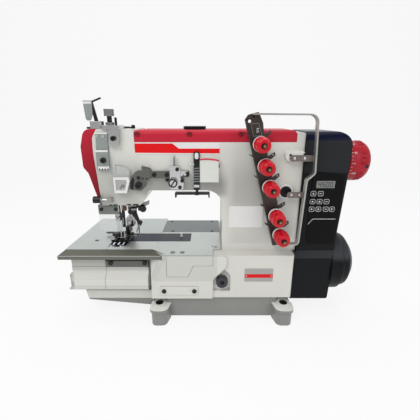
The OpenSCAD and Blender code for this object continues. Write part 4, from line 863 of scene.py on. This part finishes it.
bow = ((-47, 4.5, 292), (-51, 6, 294), (-54, 7, 292), (-54.5, 7, 288), (-52, 7, 286))
part.tube([(x, front - out, z) for x, out, z in bow], 1.1, 8).done(0.15)
part = Piece("hanger_teeth", sheet)
for k in range(6):
    z = 262 + k * 4.4
    part.slab([(-49.2, z), (-39.0, z + 0.6), (-39.0, z + 2.8), (-49.2, z + 2.2)],
              front - 5.4, front - 3.9)
part.done(0.3)
low, high = mm("thread_shield")
arc = [(low.x + (high.x - low.x) * k / 12, high.z + 0.3 - 5.5 * (k / 12 - 0.35) ** 2)
       for k in range(13)]
part = Piece("shield_trim", ("red_paint", "pink_film"))
part.slab(arc + [(x, z - 2.6) for x, z in reversed(arc)], low.y - 0.5, low.y + 0.4).done(0.2)
part = Piece("shield_clip", black)
clip = block(high.x - 0.5, high.z - 15, high.x + 1.2, high.z - 9, 0.5)
part.slab(clip, low.y, low.y + 8).done(0.2)
print("shield from X", round(low.x, 1), "to", round(high.x, 1), "mm")

# %% [markdown]
# ## Tension knobs
# Each red knob ends in a white collar at the back, and in front the post shows as a brass tip in a
# black bore. Collar and bore turn with the knob, and the tip stays with the post.

# %% Collars and tips of the knobs
sheet_low = mm("tension_bracket")[0].y
for number in range(1, 6):
    low, high = mm(f"tension_knob_{number}")
    x, z = (low.x + high.x) / 2, (low.z + high.z) / 2
    part = Piece(f"knob_collar_{number}", film, f"knob_{number}")
    part.turned([(6.4, 0.1), (11.2, 0.1), (12.6, 1.2), (12.6, 2.4), (11.2, 3.4), (6.4, 3.4)],
                (x, high.y, z), 40, closed=True).done(0.2)
    part = Piece(f"knob_bore_{number}", cap, f"knob_{number}")
    part.turned([(4.6, 0.4), (4.6, 0.0), (4.3, -0.1), (3.3, -0.1), (3.25, 1.5)],
                (x, low.y, z), 32).done(0.15)
    part = Piece(f"post_tip_{number}", ("bronze", "bronze"))
    part.turned([(1.7, 1), (1.7, 0.0), (1.2, -0.1)], (x, sheet_low, z), 20).done(0.1)
print("five knobs dressed")

# %% Fittings of the tension bracket and the guard
plane = mm("tension_springs")[1].y + 5
part = Piece("guard_rivets", bright)
for x, z in ((115, 303), (131.5, 303), (115, 242), (129, 242)):
    part.turned([(2.3, 0), (2.3, -0.5), (1.5, -1.1), (0.4, -1.3)], (x, plane, z), 16)
part.done(0)
part = Piece("bracket_holes", black)
for x, z, d in ((45.8, 367.3, 5), (35.6, 361.6, 4)):
    part.turned([(d / 2, 0), (d / 2, -0.25), (d / 2 - 0.4, -0.3)], (x, plane, z), 20)
for x, z in ((108.6, 308), (131, 309.5)):
    part.turned([(2, 0), (2, -0.2), (1.6, -0.25)], (x, plane + 2, z), 16)
part.done(0.05)
part = Piece("bracket_number", ink)
digit(part, 5, (51.6, plane - 1.1, 344), right_way, up_way, 5.5, 0.55)
part.done(0)
plate = [(41.5, 357), (54.5, 357.6), (61, 338.6), (46.5, 337.4)]
part = Piece("bracket_index_plate", ("dark_sheet", "brown_sheet"))
part.slab(plate, plane - 1.0, plane + 0.05).done(0.5)
part = Piece("bracket_index_rim", ("bright_steel", "dull_steel"))
part.frame(plate, [(42.4, 356.2), (54.0, 356.8), (60.0, 339.4), (47.0, 338.2)],
           plane - 1.15, plane - 0.95).done(0)
part = Piece("plug_ring", film)
part.turned([(13.2, 0.2), (13.2, -1.4), (12.2, -2.2), (10.2, -2.2), (9.6, -1.4), (9.6, 0.2)],
            (108, front, 245), 40, closed=True).done(0.1)
print("guard and bracket fitted")

# %% [markdown]
# ## Hand wheel
# The wheel carries a generic scale near the housing, with ticks every ten degrees and plain
# numbers, and fine ribs for the fingers. Small raised strokes print sharper than a texture would.


# %% Scale and ribs of the wheel
def spoke(degrees):
    """The directions out of the rim and along it, degrees up from the front."""
    angle = radians(degrees)
    return (Vector((0, -cos(angle), sin(angle))),
            Vector((0, sin(angle), cos(angle))))


wheel_low, wheel_high = mm("hand_wheel")
hub = Vector((0, (wheel_low.y + wheel_high.y) / 2, (wheel_low.z + wheel_high.z) / 2))
rim = (wheel_high.z - wheel_low.z) / 2
part = Piece("wheel_scale", ink, "arm_drive")
for tick in range(36):
    out, up = spoke(10 * tick)
    start = hub + out * rim + Vector((wheel_low.x + 4, 0, 0))
    numbered = tick % 3 == 0
    end = Vector((3.6 if numbered else 2.2, 0, 0))
    ring = [start - up * 0.35, start + up * 0.35, start + up * 0.35 + end, start - up * 0.35 + end]
    part.skin([[p - out * 0.1 for p in ring], [p + out * 0.08 for p in ring]])
    for place, value in enumerate(str(10 * tick) if numbered else ""):
        spot = start + Vector((5 + 2.3 * place, 0, 0)) - up * 1.5
        digit(part, int(value), spot, right_way, up, 3.0, 0.3, 0.1)
part.done(0)
part = Piece("wheel_ribs", ("wheel_red", "wheel_plastic"), "arm_drive")
rib_low, rib_high = wheel_low.x + 18, wheel_high.x - 14
for k in range(72):
    if k % 12 < 7:
        out, up = spoke(5 * k)
        ring = [hub + out * (rim - 0.4) + up * s + Vector((x, 0, 0)) for x, s in
                ((rib_low, -0.7), (rib_low, 0.7), (rib_high, 0.7), (rib_high, -0.7))]
        part.skin([ring, [p + out * 0.9 for p in ring]])
part.done()
part = Piece("wheel_hole", black, "arm_drive")
angle, reach = radians(-8), rim - 1.2
spot = Vector((wheel_high.x - 12, -cos(angle) * reach, sin(angle) * reach))
part.turned([(3, 1.2), (3, -0.9), (2.4, -1.1)], hub + spot, 20).done(0.1)
print("wheel radius", round(rim, 1), "mm")

# %% [markdown]
# ## Control panel
# The panel is one glossy membrane. Its small display shows plain numerals and its nine keys plain
# arrows and bars; nothing on it is anyone's mark.

# %% Display and keys
glass = mm("control_panel")[0].y
part = Piece("display", ("panel_gloss", "lcd_glass"))
part.slab(block(157.4, 252.4, 188.6, 264.6, 0.8), glass + 0.3, glass + 1.0).done(0.1)
part = Piece("display_numerals", ("black_cap", "lcd_ink"))
for place, value in enumerate((4, 5, 0, 0)):
    origin = (161 + 6.6 * place, glass + 0.3, 254.6)
    digit(part, value, origin, right_way, up_way, 7.6, 0.55, 0.06)
part.done(0)
key_rows = {243.0: (153.7, 166.2), 228.9: (153.8, 165.7, 177.7),
            215.4: (153.7, 165.2, 178.0, 188.6)}
places = [(x, z) for z, row in key_rows.items() for x in row]
keys = Piece("key_caps", ("panel_gloss", "key_film"))
symbols = Piece("key_symbols", ink)
proud, level = glass - 0.62, glass - 0.5
for number, (x, z) in enumerate(places):
    edge = block(x - 4.6, z - 4.4, x + 4.6, z + 4.4, 2.4)
    keys.slab(edge, level, glass + 0.9)
    symbols.frame(edge, block(x - 4.0, z - 3.8, x + 4.0, z + 3.8, 2.0), proud, level)
    sign = ([(x - 1.9, z - 1.3), (x + 1.9, z - 1.3), (x, z + 1.9)],
            block(x - 2.0, z - 0.5, x + 2.0, z + 0.5),
            [(x - 1.3, z - 1.9), (x + 1.9, z), (x - 1.3, z + 1.9)])[number % 3]
    symbols.slab(sign, proud, level)
keys.done(0.15)
symbols.slab([(149.6, 187.6), (157.6, 197.6), (197.4, 197.6), (197.4, 196.8), (158.0, 196.8),
              (150.2, 187.1)], glass - 0.15, glass + 0.2).done(0)
print(len(places), "keys")

# %% [markdown]
# ## Name plates
# The long plate on the arm and the badge on the bed are printed films free of words. They keep only
# a red field whose edge slants across the long plate, and a red band on the silver badge.

# %% Colour fields of the plates
label_front, badge_front = front - 0.8, mm("bed_casting")[0].y + 4 - 0.8
part = Piece("plate_red_field", ("red_paint", "red_film"))
field = ((0.3, 17.6), (62, 17.6), (72.5, 9.4), (139.4, 9.4), (139.4, 1.6), (0.3, 2.6))
part.slab([(-145 + a, 308 + b) for a, b in field], label_front - 0.12, label_front + 0.05)
part.slab([(41.3, 89.8), (91.7, 89.8), (91.7, 97.0), (41.3, 97.0)],
          badge_front - 0.1, badge_front + 0.05).done(0)
part = Piece("badge_studs", bright)
for x in (44, 89):
    part.turned([(1.2, 0), (1.2, -0.3), (0.8, -0.6)], (x, badge_front - 0.1, 93.4), 12)
part.done(0)
print("plates carry colour fields only")

# %% [markdown]
# ## Bed, feet and housing
# Black rings in the foot bores paint the shade inside them, black screws hold the covers, and the
# button has a dished face.
# The back, which a product picture seldom shows, gets its cover plates and vents too.

# %% Painted shade in the foot bores, buttons and covers
# black rings in the bores paint the shade inside them
part = Piece("foot_bore_shade", ("belt_rubber", "belt_rubber"))
for x in (-117, 117):
    for y in (-70, 70):
        part.turned([(7.45, 2), (7.45, 32.4), (6.9, 33.4), (5.4, 33.4), (5.0, 32.0), (5.0, 3)],
                    (x, y, 0), 28, "Z")
part.done(0.2)
# a thin dull frame round the block's cover plate paints the shadow in its seam
part = Piece("lower_plate_shadow_line", ("black_screw", "dull_steel"))
part.frame(block(-112, 55.4, -43.4, 74, 1), block(-111.5, 55.9, -43.9, 73.5, 0.8),
           -80.35, -79.9).done(0)
# a pale line along the front of the edge plate is a painted highlight
lip_low, lip_high = mm("edge_plate")
part = Piece("edge_plate_highlight_line", ("edge_steel", "silver_film"))
part.tube([(x, lip_low.y + 0.35, deck - 5.4) for x in (lip_low.x + 1.2, lip_high.x - 1.6)], 0.75)
part.done(0)
strip_face = mm("cover_strip")[0].y
part = Piece("cover_screws", black, "front_door")
for x in (-203.4, -141.1):
    part.turned([(4.3, 2), (4.3, -0.3), (3.7, -0.7), (0.4, -0.7)], (x, strip_face, 112.6), 28)
part.done(0.1)
low, high = mm("stitch_button")
part = Piece("button_face", ("button_grey", "button_plastic"), "button_unit")
part.turned([(9.6, 0.05), (9.6, -0.6), (8.8, -1.0), (7.6, -0.5), (4.2, 0.0), (0.4, 0.0)],
            ((low.x + high.x) / 2, low.y, (low.z + high.z) / 2), 36).done(0.1)

# %% Back covers, vents and their screws
arm_back, column_back, bed_back = mm("top_cover")[1].y, arm_high.y, mm("bed_casting")[1].y
for name, wall, thick, bevel, outlines in (
        ("arm_back_cover", arm_back, 2.5, 0.6, [(-118, 262, 90, 318, 6)]),
        ("column_back_cover", column_back, 3, 0.8, [(18, 160, 118, 322, 8)]),
        ("bed_back_cover", bed_back, 2.5, 0.6, [(-104, 60, 96, 122, 6), (-262, 70, -150, 122, 5)])):
    part = Piece(name, enamelled)
    for outline in outlines:
        part.slab(block(*outline), wall, wall + thick)
    part.done(bevel)
part = Piece("back_screws", black)
for y, columns, rows in ((arm_back + 2.5, (-110, -14, 82), (269, 311)),
                         (column_back + 3, (27, 109), (169, 241, 313)),
                         (bed_back + 2.5, (-96, -4, 88, -255, -206, -157), (77, 115))):
    for x in columns:
        for z in rows:
            screw(part, (x, y, z), 7, out=1)
part.done(0.15)
wall = mm("motor_housing")[1].y
part = Piece("housing_vents", ("black_shell", "black_plastic"))
for count, x, z0, pitch in ((9, 150, 190, 12), (6, 146, 62, 10)):
    for z in range(z0, z0 + count * pitch, pitch):
        part.slab(block(x, z, x + 42, z + 4, 2), wall, wall + 1.2)
part.done(0.5)
part = Piece("housing_screws", black)
for x, z in ((143, 330), (199, 330), (143, 50), (191, 50)):
    screw(part, (x, wall, z), 7, out=1)
part.done(0.15)
print("back and feet finished;", len(made), "fittings in all")

# %% [markdown]
# ## Light, floor and camera
# A product picture wants a pale floor that curves up into the wall, a broad soft light from the
# upper left, a weaker one from the right and one from above. Light Path shows the backdrop white to
# the camera, so no extra light falls on the machine.

# %% Floor and backdrop
floor_half, wall_start, curve, wall_top = 3.0, 1.2, 0.6, 3.0
bend = [radians(a) for a in range(10, 91, 10)]
profile = [(-floor_half, 0.0), (wall_start, 0.0)]
profile += [(wall_start + curve * sin(a), curve - curve * cos(a)) for a in bend]
profile += [(wall_start + curve, wall_top)]
sweep = bmesh.new()
rows = [[sweep.verts.new((x, y, z)) for y, z in profile] for x in (-floor_half, floor_half)]
for corners in zip(rows[0], rows[1], rows[1][1:], rows[0][1:]):
    sweep.faces.new(corners)
floor_mesh = bpy.data.meshes.new("studio_floor")
sweep.to_mesh(floor_mesh)
placed("studio_floor", floor_mesh)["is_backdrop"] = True
paper = Finish("studio_paper", (236, 236, 236), 0.9)
rays = [paper.add("LightPath", output=f"Is {kind} Ray")
        for kind in ("Camera", "Glossy", "Transmission")]
seen = rays[0].most(rays[1]).most(rays[2])
glow = paper.add("Emission", None, {"Color": (1, 1, 1, 1), "Strength": 1.0})
lit = Signal(paper, paper.shader.outputs[0])
seen_white = paper.add("MixShader", None, {0: seen * 0.86, 1: lit, 2: glow})
paper.feed(paper.output.inputs[0], seen_white)
floor_mesh.materials.append(paper.material)
print("floor of", 2 * floor_half, "m")


# %% Lamps and world
def lamp(name, place, size, power):
    """A rectangular light of size metres that aims at the middle of the machine."""
    data = bpy.data.lights.new(name, "AREA")
    data.shape, data.size, data.size_y, data.energy = "RECTANGLE", *size, power
    thing = placed(name, data)
    thing.location = place
    thing.rotation_euler = (middle - Vector(place)).to_track_quat("-Z", "Y").to_euler()


middle = (cad_low + cad_high) / 2
lamp("key_light", (-0.7, -1.1, 1.5), (0.9, 0.9), 12.5)
lamp("fill_light", (1.2, -1.2, 0.9), (0.8, 1.2), 5.5)
lamp("top_light", (0.0, 0.2, 1.8), (1.4, 0.8), 9.5)
world = bpy.data.worlds.new("studio_world")
bpy.context.scene.world = world
world.use_nodes = True
sky = world.node_tree.nodes["Background"].inputs
sky["Color"].default_value, sky["Strength"].default_value = (1, 1, 1, 1), 0.45
print("three lamps and a pale world")

# %% Camera
view = bpy.data.cameras.new("product_camera")
view.sensor_width, view.lens = 36.0, 24.51
camera, tilt = placed("product_camera", view), 17.83     # degrees below level
camera.location = (-0.0215, -0.532, 0.365)
camera.rotation_euler = (radians(90 - tilt), 0, 0)
bpy.context.scene.camera = camera
bpy.context.scene.view_settings.view_transform = "Standard"

# %% Sizes of the dressed machine
low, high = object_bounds()
print("visual box", [round(v, 3) for v in high - low])
